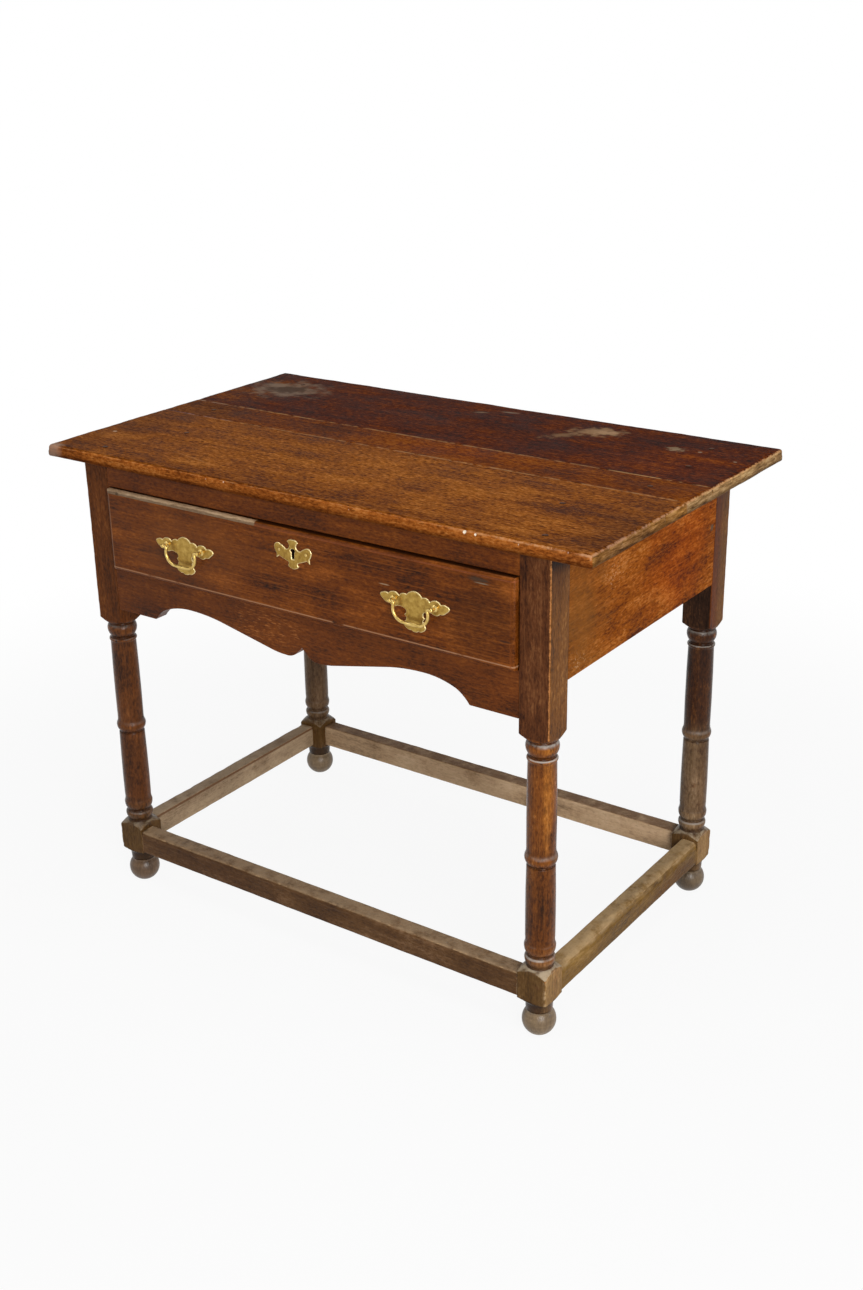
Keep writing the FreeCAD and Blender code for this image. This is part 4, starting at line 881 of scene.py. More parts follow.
def leg_wear(heights, radii, relief, angles, toward, turned, square):
    """Numbers for the finish: worn corners, upper sides of rings, their crests and their grooves."""
    block = turned > square + 0.2 * MM
    corner = np.clip(1 - np.abs((np.degrees(angles) % 90) - 45) / 7, 0, 1)
    arris = np.where(block, corner * np.clip(np.cos(angles - toward) + 0.35, 0, 1), 0)
    full = np.clip((radii - RING_FULL) / (0.5 * MM), 0, 1)
    ledge = full * np.clip(-np.gradient(radii, heights), 0, 1)
    round_part = ~block & (radii[:, None] < TURNED_RADIUS)
    return {
        "arris": np.where(heights[:, None] < LOW_BLOCK, LOW_WORN * arris, arris),
        "ledge": np.clip((square - turned) / MM + 0.5, 0, 1) * ledge[:, None],
        "crest": np.where(round_part, np.clip(relief / FULL_CREST, 0, 1)[:, None], 0),
        "groove": np.where(round_part, np.clip(-relief / FULL_GROOVE, 0, 1)[:, None], 0),
    }


relief = ring_relief(felt[1])
print("relief in mm:", round(relief.min(), 1), "to", round(relief.max(), 1))

# %% Wrap the legs
SKIN_REACH = 20 * MM


def wrapped_leg(node, seed, chips):
    """A leg's skin: square blocks with wandering corners, and the felt profile between them."""
    axis, outward = middle_axis(node)
    heights, radii = felt_profile(node)
    keep = fewest_heights(heights, radii)
    heights, radii, relief = heights[keep], radii[keep], ring_relief(radii)[keep]
    heights[0], heights[-1] = (corner.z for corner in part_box(node))
    angles = corner_angles()
    grid_z, grid_a = np.meshgrid(heights, angles, indexing="ij")
    nearest = ((np.degrees(angles) % 360) // 90).astype(int)
    rounding = corner_rounding(axis, heights, outward, chips, seed)[:, nearest]
    square = square_reach(grid_a, rounding)
    uneven = wander(around(axis, SKIN_REACH, grid_a, grid_z), 22, seed + 2).reshape(grid_z.shape)
    turned = radii[:, None] * (1 + 0.006 * uneven)
    toward = math.atan2(outward[1], outward[0])
    numbers = leg_wear(heights, radii, relief, angles, toward, turned, square)
    numbers = {key: values.ravel() for key, values in numbers.items()}
    points = around(axis, np.minimum(turned, square), grid_a, grid_z)
    faces = tube_faces(len(heights), len(angles))
    piece = add_piece(node + "_worn", points, faces, numbers)
    slim = radii < TURNED_RADIUS
    looks = np.append(np.repeat(slim[:-1] & slim[1:], len(angles)), [False, False])
    piece.data.polygons.foreach_set("material_index", looks.astype(np.int32))
    return piece


# each chip: height, half its length, depth in millimetres
LEG_CHIPS = {
    "front_right_leg": [
        (0.06, 0.006, 2.5), (0.078, 0.004, 1.2), (0.62, 0.008, 1.2), (0.58, 0.012, 1.0),
        (0.5, 0.01, 0.8),
    ],
    "front_left_leg": [(0.06, 0.006, 2.5), (0.09, 0.004, 1.5), (0.6, 0.006, 0.8)],
    "back_right_leg": [(0.06, 0.008, 3.0), (0.085, 0.005, 1.5)],
    "back_left_leg": [(0.07, 0.008, 2.0)],
}
legs = {}
for number, (node, chips) in enumerate(LEG_CHIPS.items()):
    legs[node] = wrapped_leg(node, 11 + 4 * number, chips)
print("leg points:", [len(piece.data.vertices) for piece in legs.values()])

# %% [markdown]
# The legs are darker and redder than the top. Hands and knees have rubbed their outer corners to orange,
# and the crests of their rings are rubbed and carry a painted highlight, as does the outer side of each
# column. Grey dust and a painted reflection lie on the upper side of each ring, dark wax and painted
# shade fill the grooves, and a painted shadow of the top lies on the outer sides just under it. Low
# down, near the stretchers, the finish has gone dull and dusty.

# %% Tones of the legs
BLOCK_TONES = {
    "front_right_leg": [
        (0.02, 0.006, 0.003), (0.078, 0.0245, 0.008), (0.113, 0.038, 0.013), (0.21, 0.085, 0.03),
    ],
    "front_left_leg": [
        (0.018, 0.005, 0.002), (0.085, 0.024, 0.005), (0.12, 0.035, 0.008), (0.22, 0.075, 0.02),
    ],
    "back_right_leg": [
        (0.006, 0.002, 0.001), (0.019, 0.008, 0.004), (0.03, 0.013, 0.007), (0.09, 0.038, 0.015),
    ],
    "back_left_leg": [
        (0.018, 0.006, 0.002), (0.075, 0.024, 0.006), (0.11, 0.037, 0.01), (0.2, 0.078, 0.024),
    ],
}
TURNED_TONES = {
    "front_right_leg": [
        (0.025, 0.007, 0.001), (0.1, 0.027, 0.003), (0.15, 0.045, 0.006), (0.28, 0.105, 0.024),
    ],
    "front_left_leg": [
        (0.02, 0.006, 0.002), (0.08, 0.023, 0.004), (0.11, 0.033, 0.007), (0.19, 0.066, 0.017),
    ],
    "back_right_leg": [
        (0.007, 0.002, 0.001), (0.024, 0.007, 0.002), (0.04, 0.012, 0.003), (0.105, 0.038, 0.01),
    ],
    "back_left_leg": [
        (0.06, 0.034, 0.019), (0.115, 0.066, 0.037), (0.15, 0.088, 0.051), (0.21, 0.13, 0.08),
    ],
}
DULL_TONES = [(0.05, 0.024, 0.008), (0.096, 0.047, 0.014), (0.124, 0.063, 0.02), (0.2, 0.113, 0.046)]
DUSTY_TONES = [(0.045, 0.022, 0.009), (0.105, 0.054, 0.022), (0.14, 0.075, 0.033), (0.21, 0.125, 0.062)]
OUTER_TONES = [(0.04, 0.014, 0.003), (0.13, 0.047, 0.008), (0.17, 0.065, 0.013), (0.3, 0.135, 0.038)]
# each leg: how strongly its column is warmed and given a painted highlight on its outer side, where
# that highlight starts, dust and painted reflection on its rings, wax and painted shade in its grooves,
# dust on its shoulder, height where the dust starts
LEG_LOOKS = {
    "front_right_leg": (0.8, 0.9, 0.7, 0.55, 0.85, 0.15),
    "front_left_leg": (0.4, 0.6, 0.2, 0.5, 0.4, 0.16),
    "back_right_leg": (0.5, 0.3, 0.5, 0.45, 0.85, 0.31),
    "back_left_leg": (0.3, 0.6, 0.3, 0.2, 0.4, 0.3),
}
# heights where a mask starts and where it is full
COLUMN_TOP, COLUMN_FOOT, HIGH_PART, UNDER_TOP = (0.455, 0.445), (0.25, 0.33), (0.6, 0.69), (0.662, 0.69)
LOW_PART, CHIPPED_PART, NECK = (0.112, 0.1), (0.1, 0.09), (0.0585, 0.055)
ABOVE_SHOULDER, SHOULDER = (0.105, 0.112), (0.112, 0.105)
OUTER_SIDE, DUST_FADE = (393.5 * MM, 394.3 * MM), 60 * MM
# the grey for ring tops is dust and a painted reflection; the dark for grooves is wax and painted shade
RING_DUST_AND_PAINTED_SHEEN, SHOULDER_DUST, GROOVE_WAX_AND_PAINTED_SHADE = (0.5, 0.46, 0.41), (0.42, 0.33, 0.22), (0.012, 0.004, 0.002)
RUBBED_CORNER, CHIPPED_CORNER = (0.44, 0.18, 0.055), (0.42, 0.29, 0.16)
print("tones for", len(BLOCK_TONES), "legs")

# %% Finish the legs
def warm_column_paint_highlight(wood, height, outward, share, start):
    """Warm the turned column, and paint a highlight on its outer side."""
    column = wood.both(wood.step(height, *COLUMN_TOP), wood.step(height, *COLUMN_FOOT))
    wood.tint(column, (1.35, 1.35, 1.2), share)
    # painted highlight: the side of the column that faces outward is lightened
    wood.tint(wood.both(column, wood.facing(outward, start, 0.99)), (1.8, 2.1, 2.4), share)


def tone_outer_sides(wood, height, name):
    """The flat outer sides are golden and darker towards the top, with a painted shadow of the top just
    under it.
    """
    outer = wood.step(wood.maths("ABSOLUTE", wood.sides["X"]), *OUTER_SIDE)
    wood.retone(outer, OUTER_TONES, 0.8)
    wood.tint(wood.both(outer, wood.step(height, *HIGH_PART)), (0.55, 0.5, 0.5))
    # painted shadow: the top's overhang darkens the outer sides just under it
    wood.tint(wood.both(outer, wood.step(height, *UNDER_TOP)), (0.12, 0.1, 0.1))
    if name == "back_right_leg":
        wood.tint(wood.both(outer, wood.step(wood.sides["Y"], 0.23, 0.205)), (0.8, 0.5, 0.42))


def dull_low_part(wood, height, name, side, start):
    """Patchy dust low on the leg, a painted highlight low on the back right leg's front, a dull low
    block, and a dark neck.
    """
    patchy = wood.speckle(45.0, 0.2, 0.5, 4, 0.65)
    dusty = wood.step(height, start, start - DUST_FADE)
    wood.retone(wood.both(dusty, patchy), DUSTY_TONES, 0.75)
    if name == "back_right_leg":
        # painted highlight: the back right leg's front is lightened low down
        wood.tint(wood.both(dusty, wood.facing((-0.1, -1.0, 0.0), 0.3, 1.0)), (1.6, 1.85, 2.2), 0.9)
    low = wood.step(height, *LOW_PART)
    wood.retone(wood.both(low, patchy), DULL_TONES)
    wood.tint(wood.both(low, wood.facing((side, 0.0, 0.0), 0.5, 0.95)), (2.3, 2.5, 2.7))
    wood.tint(wood.step(height, *NECK), (0.42, 0.38, 0.36))


def leg_finish(name, part, tones, shift, gloss, shine):
    wood = Oak(f"{name}_{part}_oak", "z", tones, shift,
               streak=0.6, mottle=1.1, blotch=1.3, pores=0.4)
    height, side = wood.sides["Z"], 1 if "right" in name else -1
    share, start, dust_and_sheen, wax_and_shade, shoulder, dusty_from = LEG_LOOKS[name]
    warm_column_paint_highlight(wood, height, (0.82 * side, -0.57 if "front" in name else 0.57, 0.0), share, start)
    tone_outer_sides(wood, height, name)
    dull_low_part(wood, height, name, side, dusty_from)
    # dark wax in the grooves, and painted shade there too
    wood.mark(wood.attribute("groove"), GROOVE_WAX_AND_PAINTED_SHADE, wax_and_shade)
    # painted highlight on the crests of the rings, which are also rubbed
    wood.tint(wood.attribute("crest"), (1.5, 1.55, 1.5), 0.6)
    dust = wood.step(wood.attribute("ledge"), 0.1, 0.8)
    dust = wood.both(dust, wood.speckle(70.0, 0.3, 0.62, 4, 0.6))
    # grey on the ring tops: dust, and a painted reflection
    wood.mark(wood.both(dust, wood.step(height, *ABOVE_SHOULDER)), RING_DUST_AND_PAINTED_SHEEN, dust_and_sheen)
    wood.mark(wood.both(dust, wood.step(height, *SHOULDER)), SHOULDER_DUST, shoulder)
    wood.wear(RUBBED_CORNER, 0.6, 1.05, share=0.85, scale=150.0)
    chipped = wood.step(wood.attribute("arris"), 0.1, 0.5)
    chipped = wood.both(chipped, wood.step(height, *CHIPPED_PART))
    wood.mark(wood.both(chipped, wood.speckle(130.0, 0.45, 0.6)), CHIPPED_CORNER, 0.75)
    return wood.finish(gloss, shine)


for number, (node, piece) in enumerate(legs.items()):
    shift = 2.0 + 1.3 * number
    block = leg_finish(node, "block", BLOCK_TONES[node], shift, (0.38, 0.52), 0.06)
    stand_for(piece, node, "frame", block)
    turned = leg_finish(node, "turned", TURNED_TONES[node], shift, (0.2, 0.32), 0.14)
    piece.data.materials.append(turned)
print("legs finished")

# %% [markdown]
# ## The box stretcher
#
# Feet have rested on these four bars for centuries, so their outer upper edges are rounded and
# chipped and the finish is grey and dusty. Each bar is a grid like the boards, with a strong rounding
# on the worn edge only, and plain tenons at its ends.

# %% Cut the stretchers
# each bar: grain axis, worn edge's rounding in millimetres, side that it is on
STRETCHERS = {
    "front_stretcher": ("x", 5.0, -1),
    "back_stretcher": ("x", 2.0, -1),
    "right_stretcher": ("y", 13.0, 1),
    "left_stretcher": ("y", 6.0, -1),
}
# each bar's visible span, by its axis
BAR_SPANS = {"x": (-350.0 * MM, 350.0 * MM), "y": (-209.05 * MM, 197.95 * MM)}
BAR_STEP, BAR_BAND, SMALL_ROUND = 3 * MM, 12 * MM, 1.4 * MM
BAR_SAG, BAR_PITS, UNDER_BAR = 0.6 * MM, 0.3 * MM, 0.3
TENON_HALF, TENON_SHOULDER, TENON_SETBACK = 5 * MM, 6 * MM, 13 * MM


def tenon_blocks(low, high, bar_low, bar_high, along, outer):
    """Plain end blocks that fill what the measured bar has beyond the posts' faces."""
    blocks = []
    across = 1 - along
    for end in (0, 1):
        block_low, block_high = np.array(bar_low), np.array(bar_high)
        block_low[along] = low[along] if end == 0 else bar_high[along]
        block_high[along] = bar_low[along] if end == 0 else high[along]
        middle = bar_low[across] + TENON_SETBACK if outer < 0 else bar_high[across] - TENON_SETBACK
        block_low[across], block_high[across] = middle - TENON_HALF, middle + TENON_HALF
        block_low[2] += TENON_SHOULDER
        block_high[2] -= TENON_SHOULDER
        blocks.append((block_low, block_high))
    return blocks


def stretcher(node, seed):
    """A bar with one strongly worn edge, and its tenons."""
    axis, wear, outer = STRETCHERS[node]
    along = "xy".index(axis)
    low, high = (np.array(corner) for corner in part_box(node))
    bar_low, bar_high = low.copy(), high.copy()
    start, end = BAR_SPANS[axis]
    bar_low[along], bar_high[along] = start, end
    lines = [crowded_lines(a, b, BAR_STEP, BAR_BAND, 9) for a, b in zip(bar_low, bar_high)]
    lines[along] = np.linspace(start, end, int((end - start) / BAR_STEP))
    points, faces = box_grid(lines)
    across, upward = points[:, 1 - along], points[:, 2]
    middle = (bar_low + bar_high) / 2
    top = upward > middle[2]
    worn_side = top & ((across - middle[1 - along]) * outer > 0)
    ripple = 1 + 0.4 * wander(points, 14, seed) + 0.35 * wander(points, 60, seed + 1)
    radius = np.where(worn_side, wear * MM, SMALL_ROUND) * np.clip(ripple, 0.4, 2)
    sides = (np.arange(3) != along,) * 2
    shaped = round_edges(points, bar_low, bar_high, radius, sides)
    pits = BAR_PITS * np.maximum(wander(points, 60, seed + 3), 0)
    shaped[:, 2] -= np.where(top, BAR_SAG * (1 + wander(points, 9, seed + 2)) + pits, 0)
    worn = edge_nearness(points, bar_low, bar_high, WORN_WIDTH, sides) * np.where(top, 1, UNDER_BAR)
    faces = faces.tolist()
    for block in tenon_blocks(low, high, bar_low, bar_high, along, outer):
        tenon_points, tenon_faces = box_grid([np.array(pair) for pair in zip(*block)])
        faces += (tenon_faces + len(shaped)).tolist()
        shaped = np.concatenate([shaped, tenon_points])
    worn = np.pad(worn, (0, len(shaped) - len(worn)))
    return add_piece(node + "_worn", shaped, faces, {"arris": worn})


bars = {node: stretcher(node, 31 + 4 * number) for number, node in enumerate(STRETCHERS)}
print("bar points:", [len(piece.data.vertices) for piece in bars.values()])

# %% Finish the stretchers
BAR_TONES = {
    "front_stretcher": [
        (0.03, 0.012, 0.005), (0.082, 0.036, 0.012), (0.115, 0.054, 0.02), (0.22, 0.12, 0.06),
    ],
    "back_stretcher": [
        (0.24, 0.15, 0.085), (0.48, 0.315, 0.18), (0.57, 0.385, 0.23), (0.68, 0.49, 0.31),
    ],
    "right_stretcher": [
        (0.06, 0.026, 0.004), (0.15, 0.073, 0.011), (0.205, 0.105, 0.02), (0.34, 0.205, 0.07),
    ],
    "left_stretcher": [
        (0.18, 0.115, 0.062), (0.36, 0.248, 0.15), (0.44, 0.312, 0.192), (0.55, 0.41, 0.262),
    ],
}
BAR_DUST = {
    "front_stretcher": (0.36, 0.25, 0.15), "back_stretcher": (0.15, 0.07, 0.032),
    "right_stretcher": (0.5, 0.35, 0.19), "left_stretcher": (0.55, 0.41, 0.27),
}


def bar_finish(node, shift):
    wood = Oak(node + "_oak", STRETCHERS[node][0], BAR_TONES[node], shift,
               streak=0.6, mottle=0.7, blotch=1.4, pores=0.35)
    dust = wood.both(wood.facing(UP, 0.25, 0.95), wood.speckle(40.0, 0.2, 0.6, 5))
    wood.mark(dust, BAR_DUST[node], 0.75)
    wood.tint(wood.speckle(26.0, 0.52, 0.68, 5), (0.55, 0.48, 0.4), 0.45)
    wood.tint(wood.speckle(260.0, 0.55, 0.68), (0.4, 0.35, 0.3), 0.3)
    wood.wear((0.46, 0.29, 0.15), 0.8, 1.2, share=0.75, scale=130.0)
    if node == "left_stretcher":
        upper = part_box(node)[1].z
        wood.mark(wood.line("Z", upper - 3 * MM, 3 * MM, 0.4), (0.14, 0.06, 0.025), 0.9)
    elif node == "front_stretcher":
        wood.shade((-0.2, -0.24, 0.075), (0.2, FLAT, 0.03), 20, (0.7, 0.62, 0.58), 0.8)
    elif node == "right_stretcher":
        place, size = (0.39, 0.12, 0.068), (FLAT, 0.14, 0.022)
        wood.shade(place, size, 40, (0.55, 0.42, 0.36), 0.8, ragged=0.6, soft=0.8)
    return wood.finish((0.36, 0.55), shine=0.09, depth=0.0007)


for number, (node, piece) in enumerate(bars.items()):
    stand_for(piece, node, "frame", bar_finish(node, 9.0 + number))
print("stretchers finished")

# %% [markdown]
# ## Measured timbers that stay
#
# The rails, feet, drawer box and fittings have the right shape already. They stay as they are and
# only get finishes. Their sharp edges would look like plastic, so each timber gets a small rounding
# from modifiers: weld joins its loose faces, dissolve clears needless edges, bevel breaks the arris.

# %% Soften and finish measured pieces
SAME = 0.01 * MM
RAIL_ARRIS, INNER_ARRIS, FIELD_ARRIS, IRON_ARRIS = 0.8 * MM, 0.5 * MM, 0.4 * MM, 0.3 * MM
RAIL_TONES = [(0.014, 0.004, 0.001), (0.094, 0.021, 0.002), (0.147, 0.037, 0.004), (0.29, 0.082, 0.012)]


def soften(node, width):
    """Break the sharp edges of a measured piece."""
    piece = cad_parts[node]
    piece.modifiers.new("join_faces", "WELD").merge_threshold = SAME
    clear = piece.modifiers.new("clear_edges", "DECIMATE")
    clear.decimate_type, clear.angle_limit = "DISSOLVE", math.radians(0.5)
    arris = piece.modifiers.new("break_arris", "BEVEL")
    arris.width, arris.segments = width, 2
    arris.limit_method, arris.angle_limit = "ANGLE", math.radians(35)
    arris.harden_normals = True
    return piece


def dress(nodes, material, width=0.0):
    """Give measured pieces a finish, and a broken edge where a width is given."""
    for node in nodes:
        piece = soften(node, width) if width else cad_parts[node]
        for holder in piece.material_slots:
            holder.material = material
    print(material.name, "on", len(nodes), "pieces")


rail_oak = Oak("front_rail_oak", "x", RAIL_TONES, 21.0, streak=0.5, pores=0.3)
dress(["upper_front_rail"], rail_oak.finish((0.3, 0.46), shine=0.1), RAIL_ARRIS)

# %% [markdown]
# The shaped apron is quarter-sawn, so short bright rays cross its grain at a slant. They are made by
# stretching one more noise across the grain and keeping only its peaks, in its middle part.

# %% The apron
APRON_TONES = [(0.02, 0.005, 0.001), (0.1, 0.024, 0.003), (0.145, 0.037, 0.005), (0.27, 0.08, 0.014)]
apron_oak = Oak("apron_oak", "x", APRON_TONES, 24.0, streak=0.5, mottle=1.0, blotch=1.1, pores=0.3)
slant = {"Rotation": (0, math.radians(-40), 0), "Scale": (75, 75, 520)}
slant = apron_oak.node("Mapping", {"Vector": apron_oak.place, **slant}).outputs[0]
rays = apron_oak.step(apron_oak.noise(slant, 1.0, 1), 0.58, 0.66)
middle_part = apron_oak.spot((-0.06, -0.254, 0.512), (0.1, FLAT, 0.04), 0.0, 0.4, 0.8, 30)
apron_oak.mark(apron_oak.both(rays, middle_part), (0.38, 0.13, 0.033), 0.7)
apron_oak.shade((-0.27, -0.254, 0.51), (0.14, FLAT, 0.06), 20, (0.72, 0.7, 0.7), 0.85)
dress(["lower_front_rail"], apron_oak.finish((0.3, 0.46), shine=0.1), RAIL_ARRIS)

# %% Side rails and back rail
SIDE_FACE = 0.395
SIDE_TONES = [(0.05, 0.01, 0.001), (0.195, 0.046, 0.002), (0.28, 0.074, 0.006), (0.45, 0.16, 0.034)]
side_oak = Oak("side_rail_oak", "y", SIDE_TONES, 27.0,
               streak=0.7, mottle=1.3, blotch=1.6, pores=0.55, glints=0.35)
side_oak.shade((SIDE_FACE, 0.1, 0.6), (FLAT, 0.16, 0.14), 20, (1.02, 0.76, 0.5), 0.9)
side_oak.stain((SIDE_FACE, -0.19, 0.6), (FLAT, 0.11, 0.14), 20, (0.17, 0.068, 0.014), 0.6)
grit = side_oak.speckle(330.0, 0.58, 0.68, 3)
for y, z, long, tall in ((-0.185, 0.54, 0.03, 0.022), (-0.1, 0.63, 0.04, 0.03)):
    rubbed = side_oak.spot((SIDE_FACE, y, z), (FLAT, long, tall), 0.0, 0.5, 0.8)
    side_oak.mark(side_oak.both(rubbed, grit), (0.55, 0.34, 0.17), 0.8)
dent, dent_size = (SIDE_FACE, 0.187, 0.611), (FLAT, 0.006, 0.007)
side_oak.stain(dent, dent_size, 150, (0.09, 0.07, 0.045), 0.85, ragged=0.4, soft=0.6)
dress(["right_side_rail", "left_side_rail"], side_oak.finish((0.42, 0.6), shine=0.018), RAIL_ARRIS)
FRONT_TONES = [(0.016, 0.004, 0.001), (0.105, 0.024, 0.002), (0.165, 0.042, 0.004), (0.32, 0.092, 0.014)]
back_rail_oak = Oak("back_rail_oak", "x", FRONT_TONES, 30.0)
dress(["back_rail"], back_rail_oak.finish((0.45, 0.6), shine=0.1), RAIL_ARRIS)

# %% [markdown]
# The ball feet stand on wet floors, so their polish is thin and grey. Inner oak of the drawer box and
# its runners never saw polish: it is pale, dry and only a little darkened by hands.

# %% Feet and inner oak
FOOT_TONES = [(0.07, 0.042, 0.02), (0.17, 0.112, 0.058), (0.235, 0.16, 0.088), (0.35, 0.255, 0.155)]
# two feet are darker: place, factor
DARK_FEET = (
    ((-0.37, -0.23, 0.02), (0.62, 0.5, 0.44)),
    ((0.37, 0.22, 0.02), (0.6, 0.58, 0.56)),
)
feet = [f"{end}_{side}_foot" for end in ("front", "back") for side in ("left", "right")]
foot_oak = Oak("foot_oak", "z", FOOT_TONES, 33.0,
               streak=0.3, mottle=0.6, blotch=1.3, pores=0.2, glints=0.1)
bands = foot_oak.step(foot_oak.noise(foot_oak.stretch((9, 9, 230)), 1.0, 3), 0.46, 0.6)
foot_oak.tint(bands, (0.5, 0.44, 0.4), 0.3)
for place, factor in DARK_FEET:
    foot_oak.shade(place, (0.08, 0.08, 0.08), 60, factor, 0.9, ragged=0.1, soft=0.2)
dress(feet, foot_oak.finish((0.32, 0.44), shine=0.4))

INNER_TONES = [(0.16, 0.09, 0.04), (0.27, 0.165, 0.078), (0.34, 0.215, 0.108), (0.43, 0.29, 0.16)]
inner_x = Oak("inner_oak_across", "x", INNER_TONES, 36.0).finish((0.6, 0.75), shine=0.15)
inner_y = Oak("inner_oak_along", "y", INNER_TONES, 39.0).finish((0.6, 0.75), shine=0.15)
across = ["drawer_back", "drawer_bottom_front_board", "drawer_bottom_back_board"]
along = ["drawer_left_side", "drawer_right_side"]
for kind in ("runner", "guide", "kicker"):
    along += [f"{side}_drawer_{kind}" for side in ("left", "right")]
dress(across, inner_x, INNER_ARRIS)
dress(along, inner_y, INNER_ARRIS)

# %% [markdown]
# ## The drawer front
#
# The front is dark red-brown oak with orange streaks where hands have polished it. Its raised field
# has thin pale lines where the finish is rubbed from the edges, which are also a painted highlight on
# those arrises. Its upper faces are painted near black as a painted shadow, and the wood behind the
# keyhole is painted dark as painted shade. Its inner side is bare like the rest of the drawer box. A
# strip of bare oak is let into the left part of the upper edge, its lower part darkened as painted
# shade.

# %% The drawer's front
low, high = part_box("drawer_front")
FIELD_INSET, FACE = 5 * MM, -0.262
RUBBED_AND_HIGHLIT_LINE = (0.40, 0.2, 0.1)
# each line along an edge of the field: axis, place, width, how broken it is, colour, share;
# the pale lines are rubbed finish and a painted highlight on the arris
FIELD_EDGES = (
    ("Z", low.z + FIELD_INSET, 1.6 * MM, 0.42, RUBBED_AND_HIGHLIT_LINE, 0.85),
    ("Z", high.z - FIELD_INSET, 1.6 * MM, 0.4, (0.3, 0.085, 0.03), 0.6),
    ("X", low.x + FIELD_INSET, 1.4 * MM, 0.45, RUBBED_AND_HIGHLIT_LINE, 0.6),
    ("X", high.x - FIELD_INSET, 1.8 * MM, 0.5, (0.24, 0.066, 0.014), 0.4),
)
# each scratch: (x, z), (half length, half height), colour
SCRATCHES = (
    ((0.15, 0.617), (0.012, 0.0012), (0.34, 0.22, 0.13)),
    ((0.30, 0.648), (0.014, 0.0012), (0.2, 0.15, 0.1)),
    ((0.297, 0.652), (0.02, 0.004), (0.05, 0.03, 0.018)),
    ((0.335, 0.578), (0.012, 0.0022), (0.03, 0.012, 0.006)),
)
drawer_oak = Oak("drawer_front_oak", "x", FRONT_TONES, 42.0, blotch=1.2, pores=0.3, glints=0.35)
drawer_oak.stain((-0.2, -0.26, 0.6), (0.2, FLAT, 0.09), 15, (0.14, 0.045, 0.012), 0.4)
for letter, at, width, ragged, colour, share in FIELD_EDGES:
    drawer_oak.mark(drawer_oak.line(letter, at, width, ragged), colour, share)
drawer_oak.shade((0.3, -0.26, 0.6), (0.12, FLAT, 0.08), 20, (0.6, 0.62, 0.75), 0.85)
drawer_oak.shade((0.13, -0.26, 0.61), (0.11, FLAT, 0.08), 25, (0.78, 0.74, 0.7), 0.8)
# painted shadow: the drawer front's upward faces are painted near black, as the shade under the rail and
# top
drawer_oak.mark(drawer_oak.facing(UP, 0.75, 0.97), (0.02, 0.006, 0.002), 0.9)
for (x, z), (long, tall), colour in SCRATCHES:
    drawer_oak.stain((x, FACE, z), (long, FLAT, tall), 90, colour, 0.8, ragged=0.3, soft=0.6)
# painted shade: the wood behind the keyhole is painted near black, for the dark inside of the hole
keyhole = sum(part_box("escutcheon"), Vector()) / 2
keyhole_size = (6 * MM, FLAT, 11 * MM)
drawer_oak.stain(keyhole, keyhole_size, 60, (0.008, 0.004, 0.002), 0.95, ragged=0.1, soft=0.3)
drawer_oak.retone(drawer_oak.facing((0.0, 1.0, 0.0), 0.5, 0.9), INNER_TONES)
dress(["drawer_front"], drawer_oak.finish((0.28, 0.44), shine=0.1), FIELD_ARRIS)

# %% The strip let into its edge
PATCH_TONES = [(0.14, 0.08, 0.04), (0.32, 0.203, 0.113), (0.42, 0.28, 0.163), (0.53, 0.385, 0.25)]
patch_oak = Oak("pieced_edge_oak", "x", PATCH_TONES, 45.0, mottle=1.0)
knot, knot_size = (-0.326, FACE, 0.659), (0.004, FLAT, 0.003)
patch_oak.stain(knot, knot_size, 200, (0.03, 0.02, 0.012), 0.9, ragged=0.3, soft=0.6)
middle = sum(corner.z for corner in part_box("drawer_edge_patch")) / 2
uneven = patch_oak.noise(patch_oak.place, 60.0, 3)
uneven = patch_oak.maths("MULTIPLY_ADD", uneven, 4 * MM, patch_oak.sides["Z"])
# painted shade: the lower part of the strip is darkened, for its shaded front and the shadow line below
# it
painted_lower_shade = patch_oak.step(uneven, middle + 3.0 * MM, middle + 1.6 * MM)
patch_oak.mark(painted_lower_shade, (0.1, 0.058, 0.032), 0.65)
dress(["drawer_edge_patch"], patch_oak.finish((0.5, 0.65), shine=0.15), FIELD_ARRIS)

# %% [markdown]
# ## Brass and iron
#
# The plates were cut from sheet brass and their rims filed round, which now shines; their lighter gold
# is polished brass and also a painted highlight. A bevel modifier fails on such narrow lobes, so each
# plate is cut anew: its outline is filled with small triangles, and each point near the outline drops
# back along a quarter circle.
# Their faces are dull gold, browner in patches, while the bails are polished by every hand. The bails'
# wire is made a little fuller. The lock, screws and nails are old iron with some rust.

# %% Find the plates' outlines
PLATES = ("left_handle_plate", "right_handle_plate", "escutcheon")


def plate_loops(node):
    """The outline and the holes of a plate's front face, each as a closed loop of flat points."""
    shape = bmesh.new()
    shape.from_mesh(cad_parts[node].data)
    bmesh.ops.remove_doubles(shape, verts=shape.verts, dist=SAME)
    front = min(point.co.y for point in shape.verts)
    back = max(point.co.y for point in shape.verts)
    ahead = [side for side in shape.faces if all(point.co.y - front < SAME for point in side.verts)]
    following = {}
    for side in ahead:
        for corner in side.loops:
            if not any(other in ahead for other in corner.edge.link_faces if other is not side):
                following[corner.vert] = corner.link_loop_next.vert
    loops = []
    while following:
        point, onward = following.popitem()
        loop = [point]
        while onward in following:
            loop.append(onward)
            onward = following.pop(onward)
        loops.append([Vector((point.co.x, point.co.z)) for point in loop])
    shape.free()
    return loops, front, back


